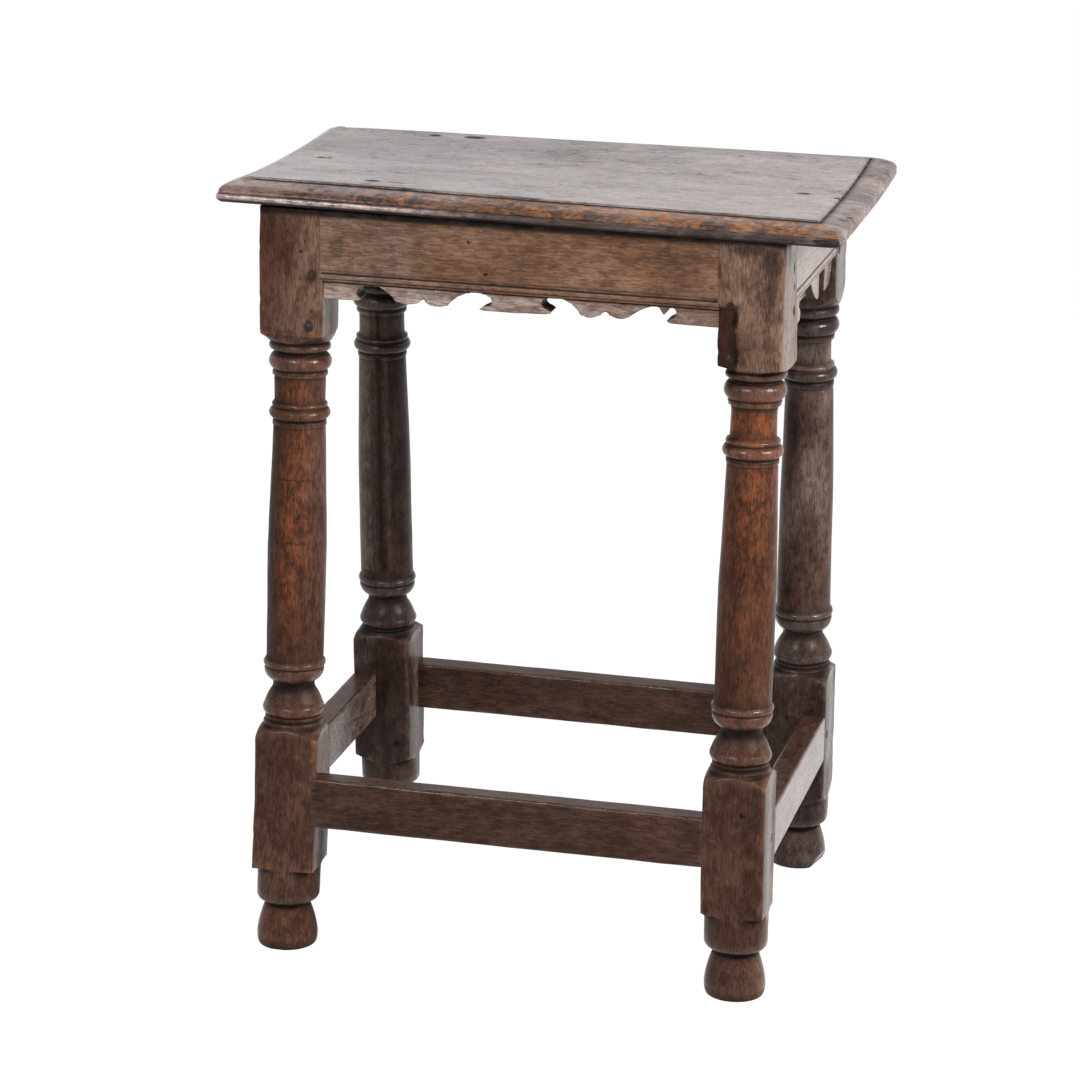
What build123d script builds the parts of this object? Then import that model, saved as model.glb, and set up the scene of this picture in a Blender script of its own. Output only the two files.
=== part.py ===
"""Oak joint stool: four turned legs, raked fore and aft, joined by fretted rails and plain
stretchers with pegged mortise-and-tenon joints, under a thumb-moulded plank top.

Frame: X runs along the long side, Y from the front to the back, Z up, with the origin on
the floor under the middle of the stool. All sizes are in millimetres.
"""

import os
from math import cos, radians, sqrt, tan

from build123d import *

os.makedirs("parts", exist_ok=True)

# ---------------------------------------------------------------- driving dimensions
STOOL_HEIGHT = 552.0  # floor to seat

# top board
TOP_LENGTH = 440.0
TOP_DEPTH = 256.0
TOP_THICKNESS = 16.0
EDGE_MOULDING = 16.0  # width of the moulding along each edge
EDGE_STEP = 1.6  # sunk fillet inside the moulding
EDGE_FILLET = 1.8  # flat at the foot of that step
NOSE_BEAD = 3.6  # height of the bead under the thumb moulding
NOSE_QUIRK = 1.0  # depth of the line between thumb and bead
EDGE_BEVEL = (3.0, 1.4)  # inward and upward run of the bevel under the bead

# under-frame
FRAME_LENGTH = 366.0  # over the outer faces of the legs
FOOT_SPREAD = 248.0  # between leg centres on the floor, front to back
RAKE_DEG = 2.6  # lean of the front and back frames
LEG_SECTION = 44.0

# lengths of the leg's members, from the floor up to the column
FOOT_HEIGHT = 31.5
COLLAR_HEIGHT = 21.0
LOWER_SHOULDER = 6.0  # rise of a turned shoulder between a face and a corner
LOWER_BLOCK = 97.0
CAP_HEIGHT = 4.5
GROOVE_HEIGHT = 4.0
TORUS_HEIGHT = 13.0
SCOTIA_HEIGHT = 17.0
RING_HEIGHT = 10.5

# and from the underside of the top down to the column
UPPER_BLOCK = 88.0
UPPER_SHOULDER = 8.0
BEAD_HEIGHT = 6.0
UPPER_GROOVE = 2.0
UPPER_TORUS = 11.0
NECK_HEIGHT = 26.5
ASTRAGAL_HEIGHT = 9.0

# radii of the leg's members
FOOT_RADIUS = 21.6
FOOT_SOLE_RADIUS = 19.8
FOOT_NECK_RADIUS = 16.3
COLLAR_RADIUS = 21.6
RING_RADIUS = 21.4
ASTRAGAL_RADIUS = 20.8
GROOVE_RADIUS = 18.7
SCOTIA_RADIUS = 14.2
NECK_RADIUS = 16.7
COLUMN_LOW_RADIUS = 19.9
COLUMN_HIGH_RADIUS = 17.3
SAW_ALLOWANCE = 4.0  # wood under the foot that is sawn off level with the floor

# rails
RAIL_THICKNESS = 20.0
LONG_RAIL_BODY = 49.5  # from the underside of the top to the lower edge of the moulding
LONG_FRET = 12.5  # depth of the cut-out border below it
END_RAIL_BODY = 52.0
END_FRET = 21.0
FRET_SETBACK = 3.5
RAIL_BEAD = 6.5  # bead along the lower edge of the face
RAIL_GROOVE = 1.4  # depth and half width of the line above the bead

# long fret, distances along the rail
CENTRE_PENDANT = 25.0  # half length of the middle pendant over its hooks
END_PENDANT = 33.0  # from the leg to the hook of an end pendant
HOOK = 7.0  # how far a hook stands out from its pendant
LOBE = 24.0  # length of one lobe of a pair
DRIP = 4.0  # gap from an end pendant's hook to the small drip

# end fret, distances along the rail from the front leg
FRONT_PENDANT = 47.0
END_HOLLOW = 35.0
END_LOBE = 31.0
END_LOBE_GAP = 20.0

# stretchers
STRETCHER_HEIGHT = 36.0
STRETCHER_THICKNESS = 18.0
LONG_STRETCHER_RISE = 96.0  # underside above the floor
END_STRETCHER_RISE = 94.0

# joints
TENON_THICKNESS = 8.0
TENON_LENGTH = 25.0
TENON_SETBACK = 10.0  # from the outer face to the tenon
TENON_HAUNCH = 12.0  # wood left above a rail tenon
TENON_SHOULDER = 5.0  # shoulder under a tenon, and above a stretcher tenon
MORTISE_CLEARANCE = 0.1
MORTISE_EXTRA_DEPTH = 0.8
PEG_DIAMETER = 7.0
PEG_CLEARANCE = 0.1
PEG_LENGTH = 28.0
PEG_PROUD = 0.4  # how far a peg stands out of the leg
LONG_PEG_INSET = 8.0  # from the shoulder of a long rail or stretcher
END_PEG_INSET = 12.0
LONG_PEG_DROPS = (28.0, 46.0)  # below the underside of the top
END_PEG_DROPS = (23.0, 50.0)
TOP_PEG_DIAMETER = 8.0
TOP_PEG_LENGTH = 34.0
TOP_PEG_INSET = 18.0  # from the shoulder of a long rail to a peg through the top

# iron nails in the front legs, under the rail
NAIL_DIAMETER = 3.0
NAIL_LENGTH = 30.0
NAIL_HEAD_DIAMETER = 8.0
NAIL_HEAD_HEIGHT = 1.8
NAIL_INSET = 9.0  # from the inner edge of the leg
NAIL_DROP = 82.0  # below the underside of the top

# ---------------------------------------------------------------- derived places
HALF = LEG_SECTION / 2
LEG_X = FRAME_LENGTH / 2 - HALF
LEG_Y = FOOT_SPREAD / 2
RAIL_INNER_X = LEG_X - HALF
SEAT_UNDERSIDE = STOOL_HEIGHT - TOP_THICKNESS
RAKE = radians(RAKE_DEG)
BLOCK_RADIUS = HALF * sqrt(2) + 0.5  # clears the corners of the square blocks
SPAN = 2 * STOOL_HEIGHT  # longer than anything on the stool
FROM_END = (Align.CENTER, Align.CENTER, Align.MIN)


# ---------------------------------------------------------------- helpers
def trace(start, *steps):
    """Draw an outline: a step is an end point, or a pair of a point passed and an end."""
    here = start
    for step in steps:
        if isinstance(step[0], tuple):
            ThreePointArc(here, *step)
            here = step[1]
        else:
            Line(here, step)
            here = step


def up_the_rake(height):
    """Distance up a raked leg that reaches the given height above the floor."""
    return height / cos(RAKE)


def leg_inner_y(height):
    """How far the inner face of a leg stands from the middle plane at a height."""
    return LEG_Y - height * tan(RAKE) - HALF / cos(RAKE)


def rake_forward(shape):
    """Lean a shape drawn upright about its own leg line into the front frame."""
    return Pos(0, -LEG_Y, 0) * Rot(-RAKE_DEG, 0, 0) * shape


def to_back(shape):
    return mirror(shape, about=Plane.XZ)


def to_right(shape):
    return mirror(shape, about=Plane.YZ)


def sawn_level(shape):
    """Saw a raked piece level with the floor and with the underside of the top."""
    keep = Pos(0, 0, SEAT_UNDERSIDE / 2) * Box(SPAN, SPAN, SEAT_UNDERSIDE)
    return shape & keep


def bored(piece, holes):
    for hole in holes:
        piece -= hole
    return piece


def export(pieces, name):
    """Write one sub-part, which is one solid or several separate ones."""
    solids = [solid for piece in pieces for solid in piece.solids()]
    item = solids[0] if len(solids) == 1 else Compound(children=solids)
    item.label = name
    export_step(item, os.path.join("parts", name + ".step"))


# ---------------------------------------------------------------- legs
def lower_turning():
    """Foot, collar, lower block and the rings above it, up to the start of the column."""
    collar_top = FOOT_HEIGHT + COLLAR_HEIGHT
    block_low = collar_top + LOWER_SHOULDER
    block_high = block_low + LOWER_BLOCK
    cap_low = block_high + LOWER_SHOULDER
    cap_high = cap_low + CAP_HEIGHT
    torus_low = cap_high + GROOVE_HEIGHT
    torus_high = torus_low + TORUS_HEIGHT
    ring_low = torus_high + SCOTIA_HEIGHT
    ring_high = ring_low + RING_HEIGHT
    trace(
        (0, -SAW_ALLOWANCE),
        (FOOT_SOLE_RADIUS, -SAW_ALLOWANCE),
        (FOOT_SOLE_RADIUS, 1.3),
        ((FOOT_RADIUS - 0.5, 3.6), (FOOT_RADIUS, 7.5)),
        ((FOOT_RADIUS - 1.8, 0.6 * FOOT_HEIGHT), (FOOT_NECK_RADIUS, FOOT_HEIGHT - 1)),
        (FOOT_NECK_RADIUS, FOOT_HEIGHT),
        ((COLLAR_RADIUS - 1.8, FOOT_HEIGHT + 1.2), (COLLAR_RADIUS, FOOT_HEIGHT + 4)),
        (COLLAR_RADIUS, collar_top),
        (BLOCK_RADIUS, block_low),
        (BLOCK_RADIUS, block_high),
        ((RING_RADIUS + 5, block_high + 0.7 * LOWER_SHOULDER), (RING_RADIUS, cap_low)),
        (RING_RADIUS, cap_high - 1.2),
        (GROOVE_RADIUS, cap_high),
        (GROOVE_RADIUS, torus_low),
        ((RING_RADIUS, torus_low + TORUS_HEIGHT / 2), (GROOVE_RADIUS, torus_high)),
        (GROOVE_RADIUS - 1, torus_high + 1.5),
        ((SCOTIA_RADIUS, torus_high + SCOTIA_HEIGHT / 2), (NECK_RADIUS, ring_low)),
        (GROOVE_RADIUS, ring_low),
        ((RING_RADIUS, ring_low + RING_HEIGHT / 2), (COLUMN_LOW_RADIUS, ring_high)),
    )
    return COLUMN_LOW_RADIUS, ring_high


def upper_turning(column_start):
    """Column, neck, rings and upper block, and back to the middle of the leg."""
    block_low = SEAT_UNDERSIDE - UPPER_BLOCK
    bead_high = block_low - UPPER_SHOULDER
    bead_low = bead_high - BEAD_HEIGHT
    torus_high = bead_low - UPPER_GROOVE
    torus_low = torus_high - UPPER_TORUS
    astragal_high = torus_low - NECK_HEIGHT
    astragal_low = astragal_high - ASTRAGAL_HEIGHT
    trace(
        column_start,
        (COLUMN_HIGH_RADIUS, astragal_low),
        (
            (ASTRAGAL_RADIUS, astragal_low + ASTRAGAL_HEIGHT / 2),
            (COLUMN_HIGH_RADIUS, astragal_high),
        ),
        (NECK_RADIUS, astragal_high + 1.5),
        (NECK_RADIUS, torus_low - 8),
        ((NECK_RADIUS + 0.5, torus_low - 4), (GROOVE_RADIUS, torus_low)),
        ((RING_RADIUS, torus_low + UPPER_TORUS / 2), (GROOVE_RADIUS, torus_high)),
        (GROOVE_RADIUS, bead_low),
        ((RING_RADIUS, bead_low + BEAD_HEIGHT / 2), (RING_RADIUS - 0.6, bead_high)),
        ((RING_RADIUS + 6, bead_high + 0.45 * UPPER_SHOULDER), (BLOCK_RADIUS, block_low)),
        (BLOCK_RADIUS, SPAN),
        (0, SPAN),
        (0, -SAW_ALLOWANCE),
    )


def leg_blank():
    """Front left leg without its joints, in its raked place."""
    with BuildPart() as turning:
        with BuildSketch(Plane.XZ):
            with BuildLine():
                upper_turning(lower_turning())
            make_face()
        revolve(axis=Axis.Z)
    square = Pos(0, 0, -HALF) * Box(LEG_SECTION, LEG_SECTION, SPAN, align=FROM_END)
    upright = Pos(-LEG_X, 0, 0) * (square & turning.part)
    return sawn_level(rake_forward(upright))


# ---------------------------------------------------------------- rails and stretchers
def rail_section(body, fret):
    """Section of a rail: outer face at 0, thickness along +X, and height from the top."""
    groove = RAIL_BEAD - body
    low = -body - fret
    with BuildSketch(Plane.XZ) as section:
        with BuildLine():
            trace(
                (0, 0),
                (0, groove + RAIL_GROOVE),
                ((RAIL_GROOVE, groove), (0, groove - RAIL_GROOVE)),
                (0, RAIL_GROOVE - body),
                ((0.3 * RAIL_GROOVE, 0.3 * RAIL_GROOVE - body), (RAIL_GROOVE, -body)),
                (FRET_SETBACK, -body),
                (FRET_SETBACK, low),
                (RAIL_THICKNESS, low),
                (RAIL_THICKNESS, 0),
                (0, 0),
            )
        make_face()
    return section.sketch


def long_fret_line(top):
    """Right half of a long rail's outline, down its end and along the fret to the middle."""
    edge = top - LONG_RAIL_BODY
    low = edge - LONG_FRET
    roof = edge - 0.3
    hook_low = low + 0.5 * LONG_FRET
    hook_high = low + 0.8 * LONG_FRET
    lobe_high = low + 0.4 * LONG_FRET
    tip = RAIL_INNER_X - END_PENDANT
    drip = tip - DRIP
    neck = CENTRE_PENDANT - HOOK
    cusp = (neck + tip) / 2
    trace(
        (0, top + HALF),
        (RAIL_INNER_X, top + HALF),
        (RAIL_INNER_X, low),
        (tip, low),
        ((tip + 3, low + 0.33 * LONG_FRET), (tip + HOOK, hook_low)),
        (tip + HOOK, hook_high),
        (drip + 3, hook_high),
        (drip, hook_low),
        (drip - 2, roof),
        (((cusp + LOBE + drip) / 2, hook_high + 0.5), (cusp + LOBE, lobe_high)),
        ((cusp + LOBE / 2, low), (cusp, lobe_high)),
        ((cusp - LOBE / 2, low), (cusp - LOBE, lobe_high)),
        ((neck + 9, roof), (neck, hook_high)),
        (neck, hook_low),
        ((CENTRE_PENDANT - 3, low + 0.33 * LONG_FRET), (CENTRE_PENDANT, low)),
        (0, low),
        (0, top + HALF),
    )


def end_fret_line():
    """Side outline of an end rail, from front to back, with its sloping shoulders."""
    top = SEAT_UNDERSIDE
    edge = top - END_RAIL_BODY
    low = edge - END_FRET
    roof = edge - 0.3
    waist = low + 0.45 * END_FRET
    pendant = FRONT_PENDANT - leg_inner_y(edge)
    lobe = pendant + END_HOLLOW
    tip = lobe + END_LOBE
    second_tip = tip + END_LOBE_GAP
    back_low = leg_inner_y(waist)
    trace(
        (-leg_inner_y(top), top),
        (-leg_inner_y(low), low),
        (pendant - HOOK, low),
        ((pendant, low + 2.5), (pendant - HOOK, waist)),
        ((pendant - 5, waist + 5), (pendant - HOOK - 3, roof)),
        (lobe - 3, roof),
        ((lobe + 8, waist), (tip - 5, low)),
        ((tip - 1, low + 0.6), (tip, low + 4)),
        (tip - 1.5, roof),
        (second_tip + 1.5, roof),
        (second_tip, low + 4),
        ((second_tip + 1, low + 0.6), (second_tip + 5, low)),
        ((back_low - 5, low + 3.5), (back_low, waist)),
        (leg_inner_y(top), top),
        (-leg_inner_y(top), top),
    )


def long_tenons(low, high, clearance=0.0):
    """Bar through both ends of a long rail or stretcher, upright, before raking."""
    extra = MORTISE_EXTRA_DEPTH if clearance else 0.0
    length = 2 * (RAIL_INNER_X + TENON_LENGTH + extra)
    thickness = TENON_THICKNESS + 2 * clearance
    bar = Box(length, thickness, high - low + 2 * clearance, align=FROM_END)
    y = -HALF + TENON_SETBACK + TENON_THICKNESS / 2
    return Pos(0, y, low - clearance) * bar


def left_bar(low, high, thickness, setback, reach=0.0):
    """Bar along the left end whose ends follow the rake, reach past the legs' faces."""
    side = Polygon(
        (-leg_inner_y(low) - reach, low),
        (leg_inner_y(low) + reach, low),
        (leg_inner_y(high) + reach, high),
        (-leg_inner_y(high) - reach, high),
        align=None,
    )
    return Pos(setback - FRAME_LENGTH / 2, 0, 0) * extrude(Plane.YZ * side, thickness)


def end_tenons(low, high, clearance=0.0):
    """Bar through both ends of an end rail or stretcher on the left."""
    extra = MORTISE_EXTRA_DEPTH if clearance else 0.0
    return left_bar(
        low - clearance,
        high + clearance,
        TENON_THICKNESS + 2 * clearance,
        TENON_SETBACK - clearance,
        TENON_LENGTH + extra,
    )


def rail_tenon_levels(top, depth):
    return top - depth + TENON_SHOULDER, top - TENON_HAUNCH


def stretcher_tenon_levels(low):
    return low + TENON_SHOULDER, low + STRETCHER_HEIGHT - TENON_SHOULDER


LONG_TOP = up_the_rake(SEAT_UNDERSIDE)
LONG_STRETCHER_LOW = up_the_rake(LONG_STRETCHER_RISE)
LONG_RAIL_TENON = rail_tenon_levels(LONG_TOP, LONG_RAIL_BODY + LONG_FRET)
END_RAIL_TENON = rail_tenon_levels(SEAT_UNDERSIDE, END_RAIL_BODY + END_FRET)
LONG_STRETCHER_TENON = stretcher_tenon_levels(LONG_STRETCHER_LOW)
END_STRETCHER_TENON = stretcher_tenon_levels(END_STRETCHER_RISE)


def front_rail():
    """Front rail: its section run along X, meeting its front outline, then raked."""
    bar = extrude(rail_section(LONG_RAIL_BODY, LONG_FRET), SPAN / 2, both=True)
    bar = Pos(0, -HALF, LONG_TOP) * Rot(0, 0, 90) * bar
    crown = Box(SPAN, RAIL_THICKNESS, HALF, align=FROM_END)
    bar += Pos(0, RAIL_THICKNESS / 2 - HALF, LONG_TOP) * crown
    with BuildSketch(Plane.XZ) as outline:
        with BuildLine():
            long_fret_line(LONG_TOP)
        make_face()
        mirror(about=Plane.YZ)
    rail = bar & extrude(outline.sketch, LEG_SECTION, both=True)
    return sawn_level(rake_forward(rail + long_tenons(*LONG_RAIL_TENON)))


def left_rail():
    """Left rail: its section run along Y, meeting its side outline."""
    bar = extrude(rail_section(END_RAIL_BODY, END_FRET), SPAN / 2, both=True)
    bar = Pos(-FRAME_LENGTH / 2, 0, SEAT_UNDERSIDE) * bar
    with BuildSketch(Plane.YZ) as outline:
        with BuildLine():
            end_fret_line()
        make_face()
    rail = bar & extrude(outline.sketch, SPAN / 2, both=True)
    return rail + end_tenons(*END_RAIL_TENON)


def front_stretcher():
    bar = Box(2 * RAIL_INNER_X, STRETCHER_THICKNESS, STRETCHER_HEIGHT, align=FROM_END)
    bar = Pos(0, STRETCHER_THICKNESS / 2 - HALF, LONG_STRETCHER_LOW) * bar
    return rake_forward(bar + long_tenons(*LONG_STRETCHER_TENON))


def left_stretcher():
    high = END_STRETCHER_RISE + STRETCHER_HEIGHT
    bar = left_bar(END_STRETCHER_RISE, high, STRETCHER_THICKNESS, 0)
    return bar + end_tenons(*END_STRETCHER_TENON)


# ---------------------------------------------------------------- pegs and nails
def peg_blank(clearance):
    radius = PEG_DIAMETER / 2 + clearance
    return Cylinder(radius, PEG_LENGTH + PEG_PROUD + clearance, align=FROM_END)


def long_peg(height, clearance):
    """Peg from the front through the front left joint, at a distance up the leg."""
    place = Pos(-RAIL_INNER_X - LONG_PEG_INSET, -HALF - PEG_PROUD, height)
    return rake_forward(place * Rot(-90, 0, 0) * peg_blank(clearance))


def end_peg(height, clearance):
    """Peg from the left through the front left joint, at a height."""
    y = -leg_inner_y(height) - END_PEG_INSET
    place = Pos(-FRAME_LENGTH / 2 - PEG_PROUD, y, height)
    return place * Rot(0, 90, 0) * peg_blank(clearance)


def leg_pegs(clearance=0.0):
    """Pegs of the front left leg, listed by the piece that they hold."""
    middle = STRETCHER_HEIGHT / 2
    return {
        "rail_front": [long_peg(LONG_TOP - drop, clearance) for drop in LONG_PEG_DROPS],
        "rail_left": [end_peg(SEAT_UNDERSIDE - drop, clearance) for drop in END_PEG_DROPS],
        "stretcher_front": [long_peg(LONG_STRETCHER_LOW + middle, clearance)],
        "stretcher_left": [end_peg(END_STRETCHER_RISE + middle, clearance)],
    }


def top_pegs(clearance=0.0):
    """Pegs down through the top, two into each long rail and one into each end rail."""
    radius = TOP_PEG_DIAMETER / 2 + clearance
    peg = Cylinder(radius, TOP_PEG_LENGTH + clearance, align=FROM_END)
    low = STOOL_HEIGHT - TOP_PEG_LENGTH - clearance
    rail_y = leg_inner_y(SEAT_UNDERSIDE) + LEG_SECTION - RAIL_THICKNESS / 2
    rail_x = (FRAME_LENGTH - RAIL_THICKNESS) / 2
    long_x = RAIL_INNER_X - TOP_PEG_INSET
    places = [(x, y) for x in (-long_x, long_x) for y in (-rail_y, rail_y)]
    places += [(-rail_x, 0), (rail_x, 0)]
    return [Pos(x, y, low) * peg for x, y in places]


def nail_place():
    place = Pos(-RAIL_INNER_X - NAIL_INSET, -HALF, LONG_TOP - NAIL_DROP)
    return place * Rot(-90, 0, 0)


def leg_nail():
    """Nail with a low domed head on the face of the front left leg."""
    head_radius = NAIL_HEAD_DIAMETER / 2
    dome_radius = (head_radius**2 + NAIL_HEAD_HEIGHT**2) / (2 * NAIL_HEAD_HEIGHT)
    ball = Pos(0, 0, dome_radius - NAIL_HEAD_HEIGHT) * Sphere(dome_radius)
    outside = Cylinder(NAIL_HEAD_DIAMETER, NAIL_HEAD_HEIGHT, align=FROM_END)
    head = ball & (Pos(0, 0, -NAIL_HEAD_HEIGHT) * outside)
    nail = head + Cylinder(NAIL_DIAMETER / 2, NAIL_LENGTH, align=FROM_END)
    return rake_forward(nail_place() * nail)


def nail_hole():
    shank = Cylinder(NAIL_DIAMETER / 2 + PEG_CLEARANCE, NAIL_LENGTH + 1, align=FROM_END)
    return rake_forward(nail_place() * shank)


# ---------------------------------------------------------------- top board
def moulded_bar(length, width):
    """Bar with the edge moulding along both sides; two crossed bars meet in mitres."""
    half = length / 2
    flat_end = half - EDGE_MOULDING
    step_low = STOOL_HEIGHT - EDGE_STEP
    thumb = flat_end + EDGE_FILLET
    bevel_in, bevel_up = EDGE_BEVEL
    bead_low = SEAT_UNDERSIDE + bevel_up
    bead_high = bead_low + NOSE_BEAD
    nose = half - NOSE_QUIRK
    thumb_middle = (thumb + 0.68 * (nose - thumb), step_low - 0.27 * (step_low - bead_high))
    with BuildSketch(Plane.XZ) as section:
        with BuildLine():
            trace(
                (0, STOOL_HEIGHT),
                (flat_end, STOOL_HEIGHT),
                (flat_end, step_low),
                (thumb, step_low),
                (thumb_middle, (nose, bead_high + 0.4)),
                (nose, bead_high),
                ((half, bead_high - NOSE_BEAD / 2), (nose, bead_low)),
                (half - bevel_in, SEAT_UNDERSIDE),
                (0, SEAT_UNDERSIDE),
                (0, STOOL_HEIGHT),
            )
        make_face()
        mirror(about=Plane.YZ)
    return extrude(section.sketch, width / 2, both=True)


def top_board():
    along = moulded_bar(TOP_LENGTH, TOP_DEPTH)
    across = Rot(0, 0, 90) * moulded_bar(TOP_DEPTH, TOP_LENGTH)
    return bored(along & across, top_pegs(PEG_CLEARANCE))


# ---------------------------------------------------------------- the stool
def mortised_leg():
    """Front left leg with its four mortises and its peg holes."""
    mortises = [
        rake_forward(long_tenons(*LONG_RAIL_TENON, MORTISE_CLEARANCE)),
        rake_forward(long_tenons(*LONG_STRETCHER_TENON, MORTISE_CLEARANCE)),
        end_tenons(*END_RAIL_TENON, MORTISE_CLEARANCE),
        end_tenons(*END_STRETCHER_TENON, MORTISE_CLEARANCE),
    ]
    peg_holes = [hole for holes in leg_pegs(PEG_CLEARANCE).values() for hole in holes]
    return bored(leg_blank(), mortises + peg_holes)


def export_legs():
    leg = mortised_leg()
    nailed = leg - nail_hole()
    export([nailed], "leg_front_left")
    export([to_right(nailed)], "leg_front_right")
    export([to_back(leg)], "leg_back_left")
    export([to_back(to_right(leg))], "leg_back_right")
    nail = leg_nail()
    export([nail, to_right(nail)], "leg_nails")


def export_bars():
    """Rails and stretchers with their pegs, each drawn once and mirrored across."""
    bars = {
        "rail_front": (front_rail(), to_right, to_back, "rail_back"),
        "rail_left": (left_rail(), to_back, to_right, "rail_right"),
        "stretcher_front": (front_stretcher(), to_right, to_back, "stretcher_back"),
        "stretcher_left": (left_stretcher(), to_back, to_right, "stretcher_right"),
    }
    pegs = leg_pegs()
    holes = leg_pegs(PEG_CLEARANCE)
    for name, (bar, to_other_end, across, opposite) in bars.items():
        bar = bored(bar, holes[name] + [to_other_end(hole) for hole in holes[name]])
        if name.startswith("rail"):
            bar = bored(bar, top_pegs(PEG_CLEARANCE))
        both_ends = pegs[name] + [to_other_end(peg) for peg in pegs[name]]
        export([bar], name)
        export([across(bar)], opposite)
        export(both_ends, name + "_pegs")
        export([across(peg) for peg in both_ends], opposite + "_pegs")


def export_top():
    export([top_board()], "top_board")
    export(top_pegs(), "top_pegs")


export_legs()
export_bars()
export_top()
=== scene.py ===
"""Looks of an old oak joint stool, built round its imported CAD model.

Every CAD piece is replaced by a worn copy that stays where the CAD piece is, but for the few
millimetres that the old frame has moved. Lengths in the geometry code are in millimetres.
"""

from math import cos, pi, radians, sin, tan

import bmesh
import bpy
import numpy as np
from mathutils import Matrix

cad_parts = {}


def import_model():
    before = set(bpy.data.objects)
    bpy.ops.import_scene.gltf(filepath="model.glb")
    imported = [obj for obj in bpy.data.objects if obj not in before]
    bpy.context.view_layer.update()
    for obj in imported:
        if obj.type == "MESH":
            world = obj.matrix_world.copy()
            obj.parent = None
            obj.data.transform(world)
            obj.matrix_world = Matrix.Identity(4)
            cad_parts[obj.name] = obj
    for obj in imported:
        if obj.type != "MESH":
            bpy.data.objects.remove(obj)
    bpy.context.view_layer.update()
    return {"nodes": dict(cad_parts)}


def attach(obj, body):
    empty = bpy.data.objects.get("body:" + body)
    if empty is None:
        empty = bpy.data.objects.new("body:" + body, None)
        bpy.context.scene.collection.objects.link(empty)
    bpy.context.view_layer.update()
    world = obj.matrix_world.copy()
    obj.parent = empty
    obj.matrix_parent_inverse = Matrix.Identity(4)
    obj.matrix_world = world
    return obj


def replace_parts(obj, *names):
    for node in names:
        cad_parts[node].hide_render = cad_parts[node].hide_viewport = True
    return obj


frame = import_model()

MM = 0.001
RAKE = radians(2.6)
LEG_X, LEG_Y, HALF = 161.0, 124.0, 22.0
UNDERSIDE, SEAT_TOP = 536.0, 550
SEAT_X, SEAT_Y = 220, 128
# Limits of the CAD model's box that the worn pieces keep inside.
BOX_TOP, BOX_DEPTH = 552, 145.2
LEG_TOP = UNDERSIDE - 0.05
# Distances up a leg to the end of its low block and to the start of its top block.
LOW_BLOCK, TOP_BLOCK = 162, 448
# Distances up a leg between which its long and its short column lie.
COLUMNS = (212, 382), (396, 418)
# Only the corners of a leg's square blocks lie farther than this from its axis.
ROUND = 24.5
# Heights down to which the long rails and the end rails are plain.
LONG_FRET, END_FRET = 486.3, 484.0


# ----- noise and small maths
def lattice(cell, seed):
    """Random numbers from -1 to 1, one for each whole-numbered cell, by a hash of its place."""
    h = cell[:, 0] * 73856093 ^ cell[:, 1] * 19349663 ^ cell[:, 2] * 83492791 ^ seed * 39916801
    h = (h ^ (h >> 13)) * 1274126177
    h = (h ^ (h >> 16)) & 0xFFFFFF
    return h / float(0x7FFFFF) - 1.0


def noise(points, size, seed=0):
    """Smooth noise from -1 to 1 at the points, with bumps about as large as size."""
    p = points / np.asarray(size, float) + 512.0
    cell = np.floor(p).astype(np.int64)
    f = p - cell
    f = f * f * (3 - 2 * f)
    total = np.zeros(len(points))
    for corner in range(8):
        step = np.array([corner & 1, corner >> 1 & 1, corner >> 2 & 1])
        weight = np.prod(np.where(step, f, 1 - f), axis=1)
        total += weight * lattice(cell + step, seed)
    return total


def ramp(low, high, value):
    """0 up to low, 1 from high on and a smooth rise between; low may be the larger of the two."""
    t = unit((value - low) / (high - low))
    return t * t * (3 - 2 * t)


def unit(value):
    """The value held between 0 and 1."""
    return np.clip(value, 0, 1)


def curve(table, value, column=1):
    """One column of a table whose rows begin with a place, read at other places in straight runs."""
    table = np.array(table, float)
    return np.interp(value, table[:, 0], table[:, column])


def blur(rows, places, width):
    """Rows averaged along their first axis with a bell of the given width."""
    weight = np.exp(-(((places[:, None] - places[None, :]) / width) ** 2))
    spacing = np.gradient(places)
    weight *= spacing[None, :]
    return (weight / weight.sum(1, keepdims=True)) @ rows


# ----- how the old frame has moved
# Each leg's rows are (height, shift to the right, shift to the back, rise).
LEG_SHIFT = {
    "front_left": [
        (0, -3.6, -1.2, 0), (30, -3.6, -1.1, 0), (42, -3, -1, 0), (80, -2, -0.8, -1.8),
        (150, -0.7, -0.2, -1.8), (165, -0.9, 0, 0), (200, -0.9, 0, 0), (215, -0.4, 0, 0), (253, 0.3, 0, 0),
        (300, 0.9, 0, 0), (365, 1.7, 0, 0), (430, 2, 0, 0), (552, 1.2, 0, 0),
    ],
    "front_right": [
        (0, 2.1, 2.5, 0), (44, 1.7, 1.8, 0), (105, 0.7, 0.8, 0.2), (177, -0.3, 0, 0), (241, 0, 0, 0),
        (430, -0.4, 0, 0), (446, -1.6, 0, 0), (466, -2.8, 0, 0), (552, -2.8, 0, 0),
    ],
    "back_left": [
        (0, -0.4, 0, 0), (85, -1.2, 0, -2.6), (140, -1.4, 0, -2.6), (158, -1.4, 0, 0), (215, -2.1, 0, 0),
        (300, -3, 0, 0), (380, -3.7, 0, 0), (430, -3.7, 0, 0), (552, -3.6, 0, 0),
    ],
    "back_right": [
        (0, 0.5, 1, 2.2), (32, 0.6, 0.6, 1.2), (52, 0.7, 0.4, 0), (90, 0.8, 0, -0.8), (135, 0.9, 0, -0.8),
        (155, 0.6, 0, 0), (215, 0, 0, 0), (375, 0, 0, 0), (400, -1.3, 0, 0), (470, -1.8, 0, 0),
        (552, -1.2, 0, 0),
    ],
}


def signs(corner):
    """-1 for left or 1 for right, and -1 for front or 1 for back."""
    return -1 if corner.endswith("left") else 1, -1 if corner.startswith("front") else 1


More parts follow.
